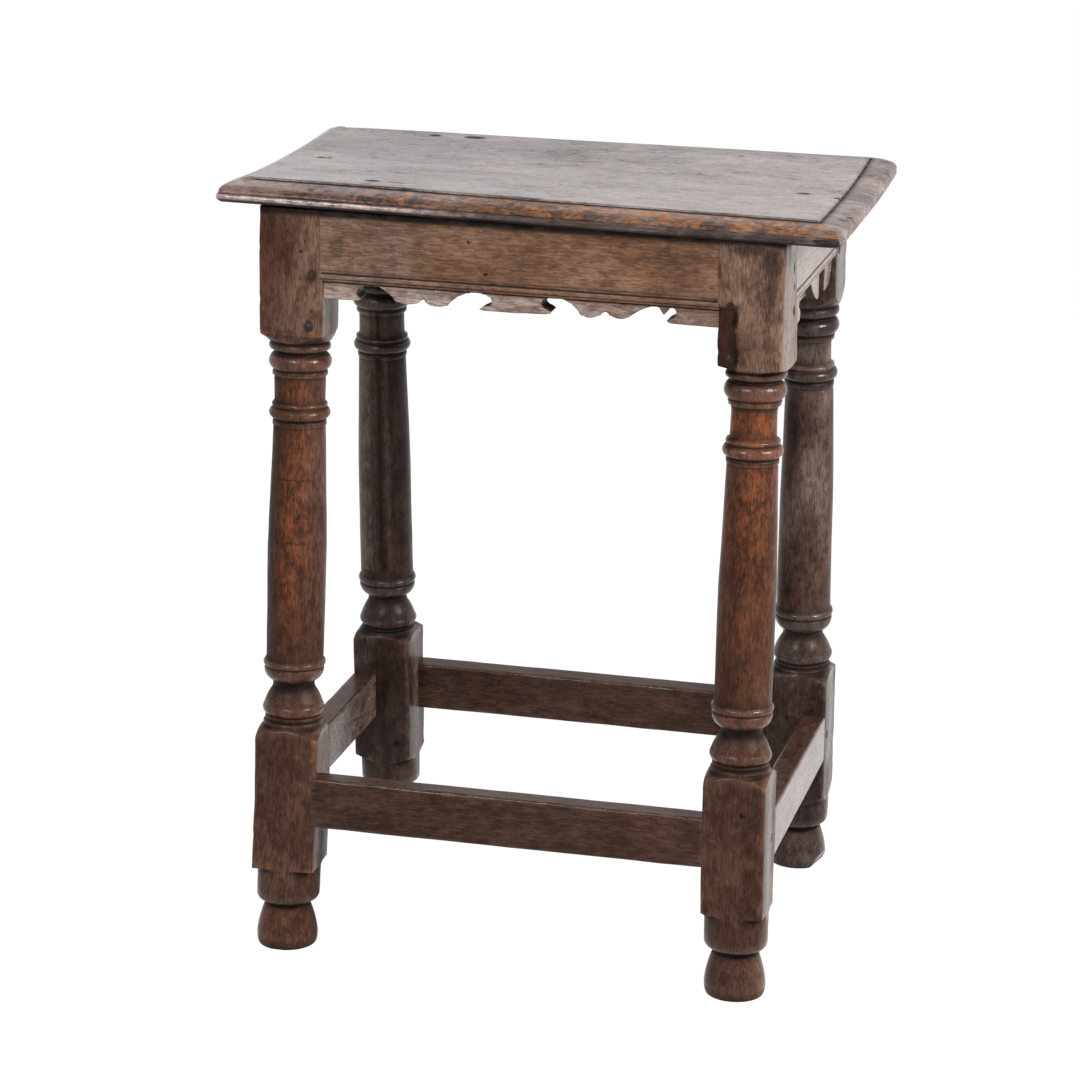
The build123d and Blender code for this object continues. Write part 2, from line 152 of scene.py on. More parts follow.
def frame_shift(co):
    """How far the old frame has moved at each point, shared out between the four legs."""
    right = unit((co[:, 0] + LEG_X) / (2 * LEG_X))[:, None]
    reach = LEG_Y - np.tan(RAKE) * co[:, 2]
    back = unit((co[:, 1] + reach) / (2 * reach))[:, None]
    total = 0
    for corner, table in LEG_SHIFT.items():
        side, depth = signs(corner)
        share = (right if side > 0 else 1 - right) * (back if depth > 0 else 1 - back)
        total = total + share * np.stack([curve(table, co[:, 2], k) for k in (1, 2, 3)], axis=1)
    return total


# ----- meshes
def build(name, co, faces, marks, material):
    """A piece from points in millimetres and their faces."""
    mesh = bpy.data.meshes.new(name)
    mesh.from_pydata((co * MM).tolist(), [], [tuple(face) for face in faces])
    return finish_piece(name, mesh, marks, material)


def read(items, key, width, kind=float):
    """One value of many parts of a mesh, as rows."""
    values = np.zeros(len(items) * width, kind)
    items.foreach_get(key, values)
    return values.reshape(-1, width)


def finish_piece(name, mesh, marks, material):
    """An object in the scene, on the stool's one body, with its marks, slot and material."""
    for key, values in marks.items():
        kind = "FLOAT_VECTOR" if values.ndim == 2 else "FLOAT"
        attribute = mesh.attributes.new(key, kind, "POINT")
        field = "vector" if values.ndim == 2 else "value"
        attribute.data.foreach_set(field, values.astype(np.float32).ravel())
    mesh.polygons.foreach_set("use_smooth", np.ones(len(mesh.polygons), bool))
    mesh.materials.append(material)
    piece = bpy.data.objects.new(name, mesh)
    bpy.context.scene.collection.objects.link(piece)
    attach(piece, "root")
    return piece


def tube_faces(rings, around):
    """Quads between rings of points that close on themselves."""
    i = np.arange(rings - 1)[:, None] * around
    j = np.arange(around)[None, :]
    k = (j + 1) % around
    return np.stack([i + j, i + k, i + around + k, i + around + j], axis=-1).reshape(-1, 4)


# ----- materials
class Nodes:
    """Short ways to add shader nodes to one material."""

    def __init__(self, name):
        self.material = bpy.data.materials.new(name)
        self.material.use_nodes = True
        self.tree = self.material.node_tree
        self.shader = self.tree.nodes["Principled BSDF"]

    def link(self, value, socket):
        """The socket linked to another, or set to a plain value."""
        if isinstance(value, bpy.types.NodeSocket):
            self.tree.links.new(value, socket)
        else:
            socket.default_value = value

    def fill(self, node, inputs):
        for key, value in inputs.items():
            self.link(value, node.inputs[key])

    def attribute(self, name, field="Fac"):
        node = self.tree.nodes.new("ShaderNodeAttribute")
        node.attribute_name = name
        return node.outputs[field]

    def operation(self, kind, name, inputs):
        node = self.tree.nodes.new(kind)
        node.operation = name
        for value, socket in zip(inputs, node.inputs):
            self.link(value, socket)
        return node

    def math(self, name, a, b=0.0, clamp=False):
        node = self.operation("ShaderNodeMath", name, (a, b))
        node.use_clamp = clamp
        return node.outputs[0]

    def plus(self, a, b):
        return self.math("ADD", a, b)

    def times(self, a, b):
        return self.math("MULTIPLY", a, b)

    def most(self, a, b):
        return self.math("MAXIMUM", a, b)

    def masked(self, name, mask):
        """A point attribute times a mask, held between 0 and 1."""
        return self.math("MULTIPLY", self.attribute(name), mask, True)

    def vector(self, name, *inputs):
        return self.operation("ShaderNodeVectorMath", name, inputs).outputs

    def ramp(self, value, low, high, to_low=0.0, to_high=1.0):
        """A smooth step from to_low to to_high while the value goes from low to high."""
        node = self.tree.nodes.new("ShaderNodeMapRange")
        node.interpolation_type = "SMOOTHSTEP"
        self.fill(node, {"Value": value, "From Min": low, "From Max": high})
        self.fill(node, {"To Min": to_low, "To Max": to_high})
        return node.outputs["Result"]

    def noise(self, vector, cells, detail=2.0, rough=0.5, warp=0.0, output="Fac"):
        """Noise with so many cells in a metre along each axis."""
        mapping = self.tree.nodes.new("ShaderNodeMapping")
        self.fill(mapping, {"Scale": cells, "Vector": vector})
        node = self.tree.nodes.new("ShaderNodeTexNoise")
        self.fill(node, {"Scale": 1.0, "Detail": detail, "Roughness": rough, "Distortion": warp})
        self.link(mapping.outputs[0], node.inputs["Vector"])
        return node.outputs[output]

    def mix(self, factor, a, b):
        """Two colours mixed."""
        node = self.tree.nodes.new("ShaderNodeMix")
        node.data_type = "RGBA"
        self.link(factor, node.inputs["Factor"])
        for value, socket in ((a, node.inputs[6]), (b, node.inputs[7])):
            self.link(value if isinstance(value, bpy.types.NodeSocket) else (*value, 1.0), socket)
        return node.outputs[2]

    def spot(self, vector, place, size):
        """1 in the middle of a small mark, fading to 0 at its rim."""
        away = self.vector("DIVIDE", self.vector("SUBTRACT", vector, place)[0], size)[0]
        return self.ramp(self.vector("LENGTH", away)["Value"], 1.0, 0.45)

    def ragged(self, vector, shake=0.004):
        """The vector shaken by so many metres, for marks without a smooth outline."""
        noise = self.noise(vector, (420, 420, 420), output="Color")
        shaken = self.vector("MULTIPLY_ADD", noise, (shake,) * 3, vector)[0]
        return self.vector("SUBTRACT", shaken, (shake / 2,) * 3)[0]

    def line(self, vector, height, half):
        """1 along a thin line at one height of the vector's second part."""
        parts = self.tree.nodes.new("ShaderNodeSeparateXYZ")
        self.link(vector, parts.inputs[0])
        away = self.math("ABSOLUTE", self.math("SUBTRACT", parts.outputs[1], height))
        return self.ramp(away, half * 1.4, half * 0.5)


def shade(colour, factor):
    return [c * factor for c in colour]


# Roughness of the wax on clean oak, and the dark colour of old grime, which also serves for painted shade.
WAX_ROUGH = 0.27
GRIME_AND_SHADE = (0.005, 0.0036, 0.0032)


def oak(
    name, dark, mid, light, warm, pale_and_sheen=(0.27, 0.2, 0.165),
    figure=0.4, flecks=0.3, lace=0.33, shine=0.6, scars=0.0, spots=(), lines=(),
):
    """Old waxed oak. The grain attribute runs along its third axis.

    The five colours are mixed by noise and by point attributes for warmth, wearing, paleness, dirtiness and
    gloss; besides real wear, paleness and dirt, these carry painted highlight, painted sheen and painted
    shade.
    """
    n = Nodes(name)
    grain = n.attribute("grain", "Vector")
    streak = n.noise(grain, (420, 420, 26), 5, 0.62, 0.6)
    curl = n.noise(grain, (190, 190, 105), 7, 0.72, 0.9)
    fine = n.noise(grain, (1100, 1100, 110), 4, 0.62)
    patch = n.noise(grain, (34, 34, 15), 4, 0.6, 0.4)
    mottle = n.noise(grain, (150, 150, 90), 4, 0.65)
    rays = n.noise(grain, (150, 520, 110), 2, 0.45, 1.2)
    pores = n.noise(grain, (1200, 1200, 190), 3, 0.6)

    tone = n.plus(n.times(streak, 1 - figure), n.times(curl, figure))
    colour = n.mix(n.ramp(tone, 0.37, 0.62), dark, mid)
    colour = n.mix(n.ramp(patch, 0.4, 0.68, 0.0, 0.85), colour, light)
    hot = n.times(n.ramp(curl, lace, 0.62), n.ramp(streak, 0.3, 0.55, 0.5, 1.0))
    colour = n.mix(n.masked("warm", hot), colour, warm)
    fleck = n.times(n.ramp(rays, 0.58, 0.68, 0.0, flecks), n.ramp(patch, 0.3, 0.6, 0.3, 1.0))
    colour = n.mix(fleck, colour, shade(light, 1.6))
    colour = n.mix(n.masked("wear_and_highlight", n.ramp(mottle, 0.3, 0.66, 0.2, 1.0)), colour, shade(light, 1.8))
    colour = n.mix(n.masked("pale_and_sheen", n.ramp(tone, 0.25, 0.6, 0.5, 1.0)), colour, pale_and_sheen)
    colour = n.mix(n.ramp(mottle, 0.36, 0.56, 0.5, 0.0), colour, shade(dark, 0.8))
    colour = n.mix(n.ramp(fine, 0.38, 0.58, 0.5, 0.0), colour, shade(dark, 0.4))
    colour = n.mix(n.ramp(pores, 0.58, 0.68, 0.0, 0.6), colour, shade(dark, 0.3))

    # Old grime, together with painted shade where a piece marks it so.
    grime_and_shade = n.masked("grime_and_shade", n.ramp(mottle, 0.25, 0.6, 0.7, 1.0))
    if scars:
        scar = n.times(n.ramp(curl, 0.46, 0.33, 0.0, scars), n.ramp(patch, 0.3, 0.6, 1.0, 0.5))
        grime_and_shade = n.most(grime_and_shade, scar)
    ragged = n.ragged(grain)
    for place, size, strength in spots:
        grime_and_shade = n.most(grime_and_shade, n.times(n.spot(ragged, place, size), strength))
    for height, half, strength in lines:
        grime_and_shade = n.most(grime_and_shade, n.times(n.line(grain, height, half), strength))

    waxed = n.times(n.attribute("gloss"), n.ramp(tone, 0.32, 0.62, shine, 1.75 - shine))
    clean = n.math("SUBTRACT", waxed, grime_and_shade, True)
    dull = n.plus(n.ramp(mottle, 0.3, 0.7, WAX_ROUGH - 0.04, WAX_ROUGH + 0.09), n.times(grime_and_shade, 0.3))
    rough = n.math("SUBTRACT", dull, n.math("MINIMUM", clean, 0.1))
    sheen = n.plus(n.times(clean, 0.72), 0.085)
    height = n.plus(n.times(streak, 0.7), n.times(fine, 0.3))
    height = n.math("SUBTRACT", height, n.times(n.ramp(pores, 0.56, 0.68), 0.3))
    relief = n.tree.nodes.new("ShaderNodeBump")
    n.fill(relief, {"Strength": 0.3, "Distance": 0.0005, "Height": height})
    surface = {"Base Color": n.mix(grime_and_shade, colour, GRIME_AND_SHADE), "Roughness": rough, "Specular IOR Level": sheen}
    n.fill(n.shader, surface | {"Normal": relief.outputs[0]})
    return n.material


def worn_iron():
    n = Nodes("worn_iron")
    place = n.tree.nodes.new("ShaderNodeTexCoord").outputs["Object"]
    rust = n.noise(place, (420, 420, 420), 5, 0.65)
    colour = n.mix(n.ramp(rust, 0.4, 0.62), (0.01, 0.0095, 0.01), (0.035, 0.022, 0.017))
    rough = n.ramp(rust, 0.35, 0.65, 0.35, 0.6)
    n.fill(n.shader, {"Base Color": colour, "Metallic": 0.25, "Specular IOR Level": 0.25, "Roughness": rough})
    return n.material


# Every piece is cut from its own place in one endless block of oak. Places in it are in metres.
def leg_origin(seed):
    return np.array([1.7, 0.31, 0.9]) * seed


def bar_origin(seed, level):
    return np.array([0.53 * seed, level, 1.3 * seed])


LONG_LEVEL, END_LEVEL = 2.1, 2.52
FRONT_RAIL_SEED = 10


def leg_spot(seed, x, up, half_x, half_up, strength, y=-HALF, half_y=6.0):
    """A dark mark on a leg, in the leg's own millimetres."""
    place = np.array([x, y, up]) * MM + leg_origin(seed)
    return tuple(place), (half_x * MM, half_y * MM, half_up * MM), strength


def seat_spot(x, y, half_x, half_y, strength):
    """A dark mark on the top of the seat, in millimetres."""
    return (y * MM, 0.549, x * MM), (half_y * MM, 0.01, half_x * MM), strength


def rail_spot(x, z, half_x, half_z, strength):
    """A dark mark on the face of the front rail, in millimetres."""
    place = bar_origin(FRONT_RAIL_SEED, LONG_LEVEL) + [-0.12, z * MM, x * MM]
    return tuple(place), (0.03, half_z * MM, half_x * MM), strength


# Rows of (seed of the leg, right, up, half width, half height, strength), some with (depth, half depth).
FRONT_MARKS = [leg_spot(*row) for row in [
    (1, 7, 506, 1.4, 1.4, 0.9), (1, 15, 490, 5.5, 7, 0.75), (1, 12.5, 455, 4.6, 5.5, 0.8),
    (1, 15, 465.5, 1.4, 1.6, 0.85), (1, -14, 520, 5, 30, 0.35), (1, -8, 470, 3, 9, 0.35),
    (1, 14, 114, 3, 3, 0.5), (2, -9.5, 482, 3.4, 9, 0.95), (2, -8.2, 457, 2.4, 12, 0.95),
    (2, -13, 491, 4, 3, 0.8), (2, -13, 447, 5, 6, 0.75), (2, 22.9, 513, 4, 5, 1, 11, 3.2),
    (2, 22.9, 500, 4, 3, 0.9, 12, 2.6), (2, 22.9, 484, 4, 5, 1, 11, 3.2), (2, 13, 521, 9, 15, 0.62),
    (2, 3, 529, 12, 6, 0.5), (2, 6, 137, 2.4, 3, 0.95), (2, 3, 131, 2.2, 5, 0.55),
    (2, -11, 120, 1.2, 6, 0.5), (1, -2, 345, 26, 1, 0.6, -18), (2, 15, 503, 5, 17, 0.5),
    (2, -3, 528, 16, 6, 0.5), (1, -2, 300, 26, 1.2, 0.45, -18),
]]
BACK_MARKS = [leg_spot(*row) for row in [
    (3, -1.5, 262, 0.9, 38, 0.85, 17), (3, 8, 330, 6, 75, 0.5, 13), (3, -9, 300, 0.7, 40, 0.6, 14),
    (3, 4, 246, 0.7, 26, 0.8, 17), (3, 12, 75, 4, 4, 0.9, 22), (4, -7, 128, 2, 2, 0.9, 22),
]]
# Rows of (x, y, half length, half width, strength).
SEAT_MARKS = [seat_spot(*row) for row in [
    (-175, -3, 10, 4.5, 0.95), (-115, -89, 8, 7.5, 0.98), (-98, -89, 10, 4.5, 0.55),
    (174, -16, 8.5, 4, 0.95), (203, -24, 5.5, 3.2, 0.9), (-122, 99, 6, 5, 0.9), (-92, 100, 11, 6, 0.9),
    (108, 90, 4, 3, 0.6), (216, -76, 2.2, 5, 0.75), (214, -92, 3, 4, 0.6), (-8, 66, 2, 2, 0.6),
    (20, -92, 16, 1.4, 0.5), (70, -30, 110, 0.9, 0.4),
]]
# Rows of (x, z, half length, half height, strength). The long mark at height 533 is a painted shadow under
# the seat.
RAIL_MARKS = [rail_spot(*row) for row in [
    (-34, 521, 2, 1.4, 0.9), (-22, 500, 2.4, 1.6, 0.95), (-17, 493.5, 3.5, 1.2, 0.9),
    (-128, 512, 8, 10, 0.4), (-40, 533, 100, 2.4, 0.35), (60, 500, 14, 3, 0.3), (104, 520, 12, 8, 0.3),
]]
# Rows of (height, half width, strength) of the dark lines along the rails' mouldings. On the long rails the
# lowest line, at the foot of the moulding, is a painted shadow.
LONG_LINES = [(0.4929, 0.0007, 0.9), (0.4893, 0.0005, 0.75), (0.4866, 0.0006, 0.9)]
END_LINES = [(0.4905, 0.0007, 0.8), (0.4868, 0.0005, 0.7)]
FRONT_LEG = oak(
    "oak_front_legs", dark=(0.033, 0.014, 0.009), mid=(0.074, 0.031, 0.0185), light=(0.112, 0.053, 0.033),
    warm=(0.22, 0.064, 0.022), pale_and_sheen=(0.27, 0.185, 0.14), figure=0.7, spots=FRONT_MARKS,
)
BACK_LEG = oak(
    "oak_back_legs", dark=(0.019, 0.0105, 0.0085), mid=(0.04, 0.022, 0.017), light=(0.078, 0.048, 0.038),
    warm=(0.13, 0.055, 0.032), figure=0.7, spots=BACK_MARKS,
)
RAIL = oak(
    "oak_rails", dark=(0.092, 0.046, 0.029), mid=(0.175, 0.095, 0.06), light=(0.25, 0.147, 0.1),
    warm=(0.3, 0.13, 0.055), pale_and_sheen=(0.46, 0.375, 0.33), figure=0.5, flecks=0.25, spots=RAIL_MARKS,
    lines=[(LONG_LEVEL + z, half, strength) for z, half, strength in LONG_LINES],
)
END_RAIL = oak(
    "oak_end_rails", dark=(0.09, 0.055, 0.043), mid=(0.18, 0.12, 0.095), light=(0.25, 0.18, 0.15),
    warm=(0.25, 0.14, 0.09), pale_and_sheen=(0.36, 0.29, 0.26), flecks=0.25,
    lines=[(END_LEVEL + z, half, strength) for z, half, strength in END_LINES],
)
LOW_RAIL = oak(
    "oak_stretchers", dark=(0.024, 0.0125, 0.0088), mid=(0.058, 0.029, 0.0205), light=(0.085, 0.047, 0.034),
    warm=(0.12, 0.045, 0.027), pale_and_sheen=(0.3, 0.225, 0.19), figure=0.5, flecks=0.15,
)
SEAT = oak(
    "oak_seat", dark=(0.036, 0.02, 0.0165), mid=(0.145, 0.093, 0.081), light=(0.32, 0.24, 0.22),
    warm=(0.5, 0.19, 0.06), pale_and_sheen=(0.37, 0.29, 0.265), lace=0.41, shine=0.22, scars=0.55, spots=SEAT_MARKS,
)
PEG = oak(
    "oak_peg_ends", dark=(0.036, 0.017, 0.011), mid=(0.085, 0.043, 0.028), light=(0.12, 0.065, 0.045),
    warm=(0.1, 0.04, 0.02), flecks=0.0,
)
IRON = worn_iron()


# ----- legs
def arc(start, peak, end, count):
    """Points of the circle through three (height, radius) points, without the first."""
    a, b, c = (complex(*p) for p in (start, peak, end))
    w = (c - a) / (b - a)
    middle = a - (a - b) * (w - abs(w) ** 2) / (2j * w.imag)
    radius = abs(a - middle)
    angles = np.unwrap([np.angle(p - middle) for p in (a, b, c)])
    turns = np.linspace(angles[0], angles[2], count)[1:]
    return [(middle.real + radius * cos(t), middle.imag + radius * sin(t)) for t in turns]


# The leg's profile from its foot to its top block: lists of (distance up, radius) points, and arcs
# of (peak, end, number of points) that start at the last point before them.
PROFILE = [
    [(-4, 20.2), (0, 20.4), (0.7, 20.9)],
    ((5, 21.5), (9, 21.4), 5),
    ((20, 19.2), (30, 15.7), 8),
    [(31.2, 15.3), (31.8, 15.6), (32.2, 18.2)],
    ((33.6, 21.2), (37.5, 22.3), 5),
    [(52.4, 22.5), (53.2, 22.9), (58.5, 31.8), (155.5, 31.8)],
    ((160, 26.4), (162.4, 21.8), 6),
    [
        (163.2, 20.9), (165.6, 20.7), (166.3, 19), (167.2, 18.6), (167.9, 19.5), (169.6, 19.6),
        (170.2, 18.4), (170.8, 19.2),
    ],
    ((174, 21.5), (177.8, 20.7), 9),
    ((183.6, 18.4), (188.4, 15.6), 8),
    ((191.9, 14.5), (195.4, 15.5), 8),
    ((198.8, 19.3), (203.6, 20.9), 9),
    [(204.6, 21), (205.4, 20.5), (206, 20), (206.8, 20.1), (207.4, 21.2)],
    ((209.2, 21.8), (211, 21.1), 5),
    [
        (211.8, 20.2), (213.4, 19.9), (296, 19.2), (380, 17.4), (380.8, 17), (381.6, 18.2),
        (384.4, 18.3), (385.2, 17.4), (386, 18),
    ],
    ((389.8, 21.1), (393.6, 18.9), 9),
    [
        (394.2, 17.9), (395, 18.9), (397, 18.9), (397.8, 17), (399, 16.5), (413, 16.3),
        (416.4, 16.6), (417, 18.4), (419.8, 18.6), (420.6, 17.6),
    ],
    ((426.4, 21.5), (431.8, 19), 10),
    [(432.4, 17.7), (433.8, 17.7), (434.6, 19.4)],
    ((437, 21.3), (439.6, 20.4), 6),
    [(440.4, 19.8), (441.2, 21.2)],
    ((444.6, 25.4), (448.5, 31.8), 6),
    [(545, 31.8)],
]


def leg_profile():
    """Rows of (distance up the leg, turned radius)."""
    rows = []
    for part in PROFILE:
        rows += part if isinstance(part, list) else arc(rows[-1], *part)
    return rows


def leg_levels():
    """Distances up the leg where its rings of points lie, closest where it is turned."""
    spans = [
        (-1.3, 70, 0.85), (70, 150, 1.6), (150, 217, 0.6), (217, 374, 2), (374, 458, 0.65),
        (458, 537.5, 1.6),
    ]
    levels = [np.arange(low, high, step) for low, high, step in spans]
    return np.concatenate(levels + [[537.5]])


def leg_angles():
    """Angles round the leg, closest at the corners of its square blocks."""
    crowding = 1.288
    t = np.linspace(-1, 1, 33)[:-1]
    quarter = np.sin(t * crowding) / sin(crowding)
    return np.concatenate([(quarter + 2 * k) * pi / 4 for k in range(4)])


# Rows of (distance up the leg, twist in degrees, shift of the leg alone to the right).
TWIST = {
    "front_left": [
        (0, 3.5, -0.5), (160, 3.5, -0.5), (212, 3, 0), (430, 2, 0), (448, 2, -0.8), (540, 2, -0.8),
    ],
    "front_right": [
        (0, 0, 0.2), (160, 0, 0.2), (212, 0, 0), (430, -2, 0), (448, -3, 1.2), (475, -3, 1.6),
        (512, 0.5, 0.3), (540, 0.5, 0.3),
    ],
}
# Rows of (distance up the profile, how much thicker that part of this leg was turned).
SWELL = {
    "front_left": [
        (160, 0), (166, 0.4), (181, 0.1), (190, 0.1), (212, 0.3), (226, 0.7), (255, 1.1), (270, 1.3),
        (291, 1.5), (334, 1.9), (363, 1.7), (377, 1.3), (386, 0.2), (397, 0.4), (400, 1.6), (414, 1.6),
        (420, 0.4), (440, 0.2), (448, 0),
    ],
    "front_right": [
        (212, 0), (226, 0.8), (300, 0.8), (330, 1.1), (355, 1), (377, 0.4), (386, -0.2), (397, -0.2),
        (400, -0.6), (414, -0.6), (420, 0), (448, 0),
    ],
    "back_left": [
        (212, 0.1), (240, 0.3), (262, 0.8), (290, 0.6), (377, 0.3), (386, 0), (400, 0.5), (414, 0.5),
        (420, 0),
    ],
    "back_right": [
        (160, 0), (166, 0.4), (212, 0.1), (226, 0.3), (377, 0.2), (386, -0.3), (420, -0.3), (448, 0),
    ],
}
# Rows of (distance up the profile, how much higher that part of this leg was turned).
TURNED = {
    "front_left": [
        (0, 0), (31, 0.2), (38, 0.8), (52, 6.4), (53.3, 6.8), (58.5, 1.9), (60, 1.9), (150, 0), (156, 0.6),
        (166, 1.2), (186, 1.7), (193, 1.4), (205, 0.9), (212, 0.4), (381, 0.2), (448, 0),
    ],
    "front_right": [
        (0, 0.3), (31, 1), (52, 6), (53.3, 7.6), (58.5, 3.6), (60, 3.6), (150, 0), (166, 0.4), (212, 0),
        (381, -0.4), (390, -0.4), (398, 0.4), (416, 4.2), (427, 4.6), (437, 5.2), (441, 4.6), (448.5, 0.6),
        (460, 0),
    ],
    "back_left": [
        (0, 0), (30, 2), (52, 4), (60, 4.4), (150, 0), (160, -1.6), (168, -5.2), (176, -6.2), (193, -6),
        (205, -7.2), (212, -7), (235, -4), (381, -2.2), (390, -1.9), (408, -2.6), (427, -3.8),
        (448, -3.6), (460, -3),
    ],
    "back_right": [
        (0, 1.8), (31, 2.8), (52, 3.4), (60, 7.6), (150, 0), (160, -1), (168, -1.9), (193, -2.6),
        (212, -2.4), (230, 0), (381, 1.4), (390, 2.2), (416, 1), (437, 1.6), (444, 4), (449, 8),
        (470, 4),
    ],
}


def place_leg(corner, x, y, up):
    """World points from a leg's own: x to the right, y in from the outside, up along the leg."""
    side, depth = signs(corner)
    twist = TWIST.get(corner, [(0, 0, 0)])
    phi = np.radians(curve(twist, up))
    x, y = x * np.cos(phi) - y * np.sin(phi), x * np.sin(phi) + y * np.cos(phi)
    x = x + curve(twist, up, 2)
    reach = y * cos(RAKE) + up * sin(RAKE)
    z = np.clip(up * cos(RAKE) - y * sin(RAKE), 0, LEG_TOP)
    co = np.stack([side * LEG_X + x, depth * (LEG_Y - reach), z], axis=-1).reshape(-1, 3)
    co += frame_shift(co)
    co[:, 1] = np.clip(co[:, 1], -BOX_DEPTH, BOX_DEPTH)
    co[:, 2] = np.clip(co[:, 2], 0, LEG_TOP)
    return co


def carried(co):
    """Points of a piece fixed in a leg, turned and moved as the leg has."""
    out = co.copy()
    for corner in LEG_SHIFT:
        side, depth = signs(corner)
        mine = (np.sign(co[:, 0]) == side) & (np.sign(co[:, 1]) == depth)
        reach = LEG_Y - depth * co[mine, 1]
        y = reach * cos(RAKE) - co[mine, 2] * sin(RAKE)
        up = reach * sin(RAKE) + co[mine, 2] * cos(RAKE)
        out[mine] = place_leg(corner, co[mine, 0] - side * LEG_X, y, up)
    return out


def bump(value, middle, half):
    """1 at the middle, falling to 0 half away."""
    return ramp(half, 0, np.abs(value - middle))


def bands(up, *rows):
    """A sum of bumps up the leg, from rows of (distance up, half width, strength)."""
    return sum(strength * bump(up, middle, half) for middle, half, strength in rows)


def right_face(turn):
    """1 in the middle of the leg's right side, falling to 0 at the corners."""
    return bump(turn, 360, 42) + bump(turn, 0, 42)


# How warm, pale and dark each leg is, with painted sheen and shade among it, by the angle round
# it in degrees, the distance up it, a cloudy noise and whether a point lies on one of the two columns.
def front_left_colours(turn, up, cloud, column):
    block, low = up > TOP_BLOCK, up < LOW_BLOCK
    strip = bump(turn, 268, 58) * (0.85 + 0.6 * cloud)
    warm = column * (strip + 0.12) * ramp(205, 300, up) + (up < 30) * 0.3
    warm += bands(up, (200, 16, 0.5), (388, 10, 0.5), (426, 8, 0.35), (174.5, 6, 0.4))
    warm += block * (0.12 + 0.6 * bump(turn, 306, 16)) + low * bump(turn, 360, 45) * 0.6
    # Paler at the right of the column and on the right side of the top block: painted sheen; the rest of the
    # paleness is the wood's own.
    pale_and_sheen = column * bump(turn, 335, 48) * 0.14 * (0.7 + cloud) * (up < 390)
    pale_and_sheen += block * (0.2 + 0.3 * cloud + 0.2 * bump(turn, 360, 34)) + low * 0.03
    # Darker down the left of the column: painted shade. Also darker at the neck, the astragal, the right side
    # low down and the right side of the top block.
    dirt_and_shade = column * bump(turn, 210, 60) * 0.6 + bands(up, (190.5, 9, 0.4), (389, 9, 0.15))
    dirt_and_shade += right_face(turn) * (ramp(128, 96, up) * 0.8 + (up > 446) * 0.22)
    return warm, pale_and_sheen, dirt_and_shade


def front_right_colours(turn, up, cloud, column):
    block, low = up > TOP_BLOCK, up < LOW_BLOCK
    warm = column * (0.42 + 0.4 * bump(turn, 285, 60) + 0.35 * cloud) * ramp(205, 240, up)
    warm += bands(up, (408, 13, 0.7), (390, 6, 1.0), (200, 16, 0.4), (426, 8, 0.5), (174.5, 6, 0.3))
    red = 0.7 * bump(turn, 250, 40) * bump(up, 506, 40)
    red += 0.8 * bump(turn, 309, 14) * bump(up, 455, 38)
    warm += block * (0.24 + red)
    # Paler right sides: painted sheen.
    pale_and_sheen = right_face(turn) * (0.2 * (up > 444) + 0.34 * low + 0.1 * column)
    pale_and_sheen += block * (0.45 + 0.42 * cloud) + low * 0.03
    dirt_and_shade = column * bump(up, 245, 60) * (0.42 + 0.3 * cloud) + bump(up, 190.5, 10) * 0.5
    return warm, pale_and_sheen, dirt_and_shade


def back_left_colours(turn, up, cloud, column):
    low = up < LOW_BLOCK
    warm = column * (0.1 * (cloud > 0) + 0.5 * bump(turn, 125, 45))
    pale_and_sheen = column * (bump(turn, 125, 40) * 0.34 + bump(turn, 66, 10) * 0.16)
    # Paler right side of the low block: painted sheen.
    pale_and_sheen += low * (right_face(turn) * 0.4 + bump(up, 140, 16) * bump(turn, 130, 40) * 0.25)
    dirt_and_shade = column * (bump(turn, 84, 8) * 0.8 + bump(turn, 102, 5) * 0.4)
    return warm, pale_and_sheen, dirt_and_shade


def back_right_colours(turn, up, cloud, column):
    pale_and_sheen = column * ramp(220, 330, up) * (0.26 + 0.4 * cloud) + (up < 32) * 0.14
    # Paler right sides: painted sheen.
    pale_and_sheen += right_face(turn) * (0.3 * (up > 444) + 0.34 * (up < LOW_BLOCK))
    return column * 0.35, pale_and_sheen, 0


def blank_radius(corner, u, a, near):
    """Radius of the square blank, whose corners are rounded a little and not evenly."""
    thicker = {"front_left": 0.55, "front_right": 0.9 * (u > 440)}
    soft = 24 + 12 * near((14, 14, 22), 3) - 4 * (u < 160)
    round_square = np.abs(np.cos(a)) ** soft + np.abs(np.sin(a)) ** soft
    return (HALF + thicker.get(corner, 0)) * round_square ** (-1 / soft)


def turned_radius(corner, up):
    """Radius of the turning at distances up one leg, as it came out on that leg."""
    profile = np.array(leg_profile())
    profile[:, 1] += curve(SWELL[corner], profile[:, 0])
    profile[:, 0] += curve(TURNED[corner], profile[:, 0])
    return curve(profile, up)


def missing_piece(corner, radius, u, a, near):
    """1 where a piece is split off the front right leg's top block, and 0 elsewhere."""
    if corner != "front_right":
        return np.zeros(u.shape)
    left_of_split = ramp(-8.2, -9.4, radius * np.cos(a) + 1.6 * near((5, 5, 4), 9))
    below_split = ramp(491.5, 489.5, u + 1.5 * near((4, 4, 9), 10))
    return left_of_split * below_split * ramp(440, 446, u) * (np.sin(a) < 0.6)


def broken_foot(radius, u, a):
    """Radius of the back right leg, whose foot is broken along a slant at its right side."""
    reach = np.cos(a - 0.25)
    slant = (16.0 + 0.5 * u) / np.maximum(reach, 0.2)
    return np.where(reach > 0.2, np.minimum(radius, slant), radius)


def shadow_under_seat(height):
    """Painted shadow close under the seat."""
    return ramp(529.5, 533, height)


def leg_points(radius, a, u):
    """A leg's own points from their radius, the angle round it and the distance up it."""
    return np.stack([radius * np.cos(a), radius * np.sin(a), u], axis=-1).reshape(-1, 3)


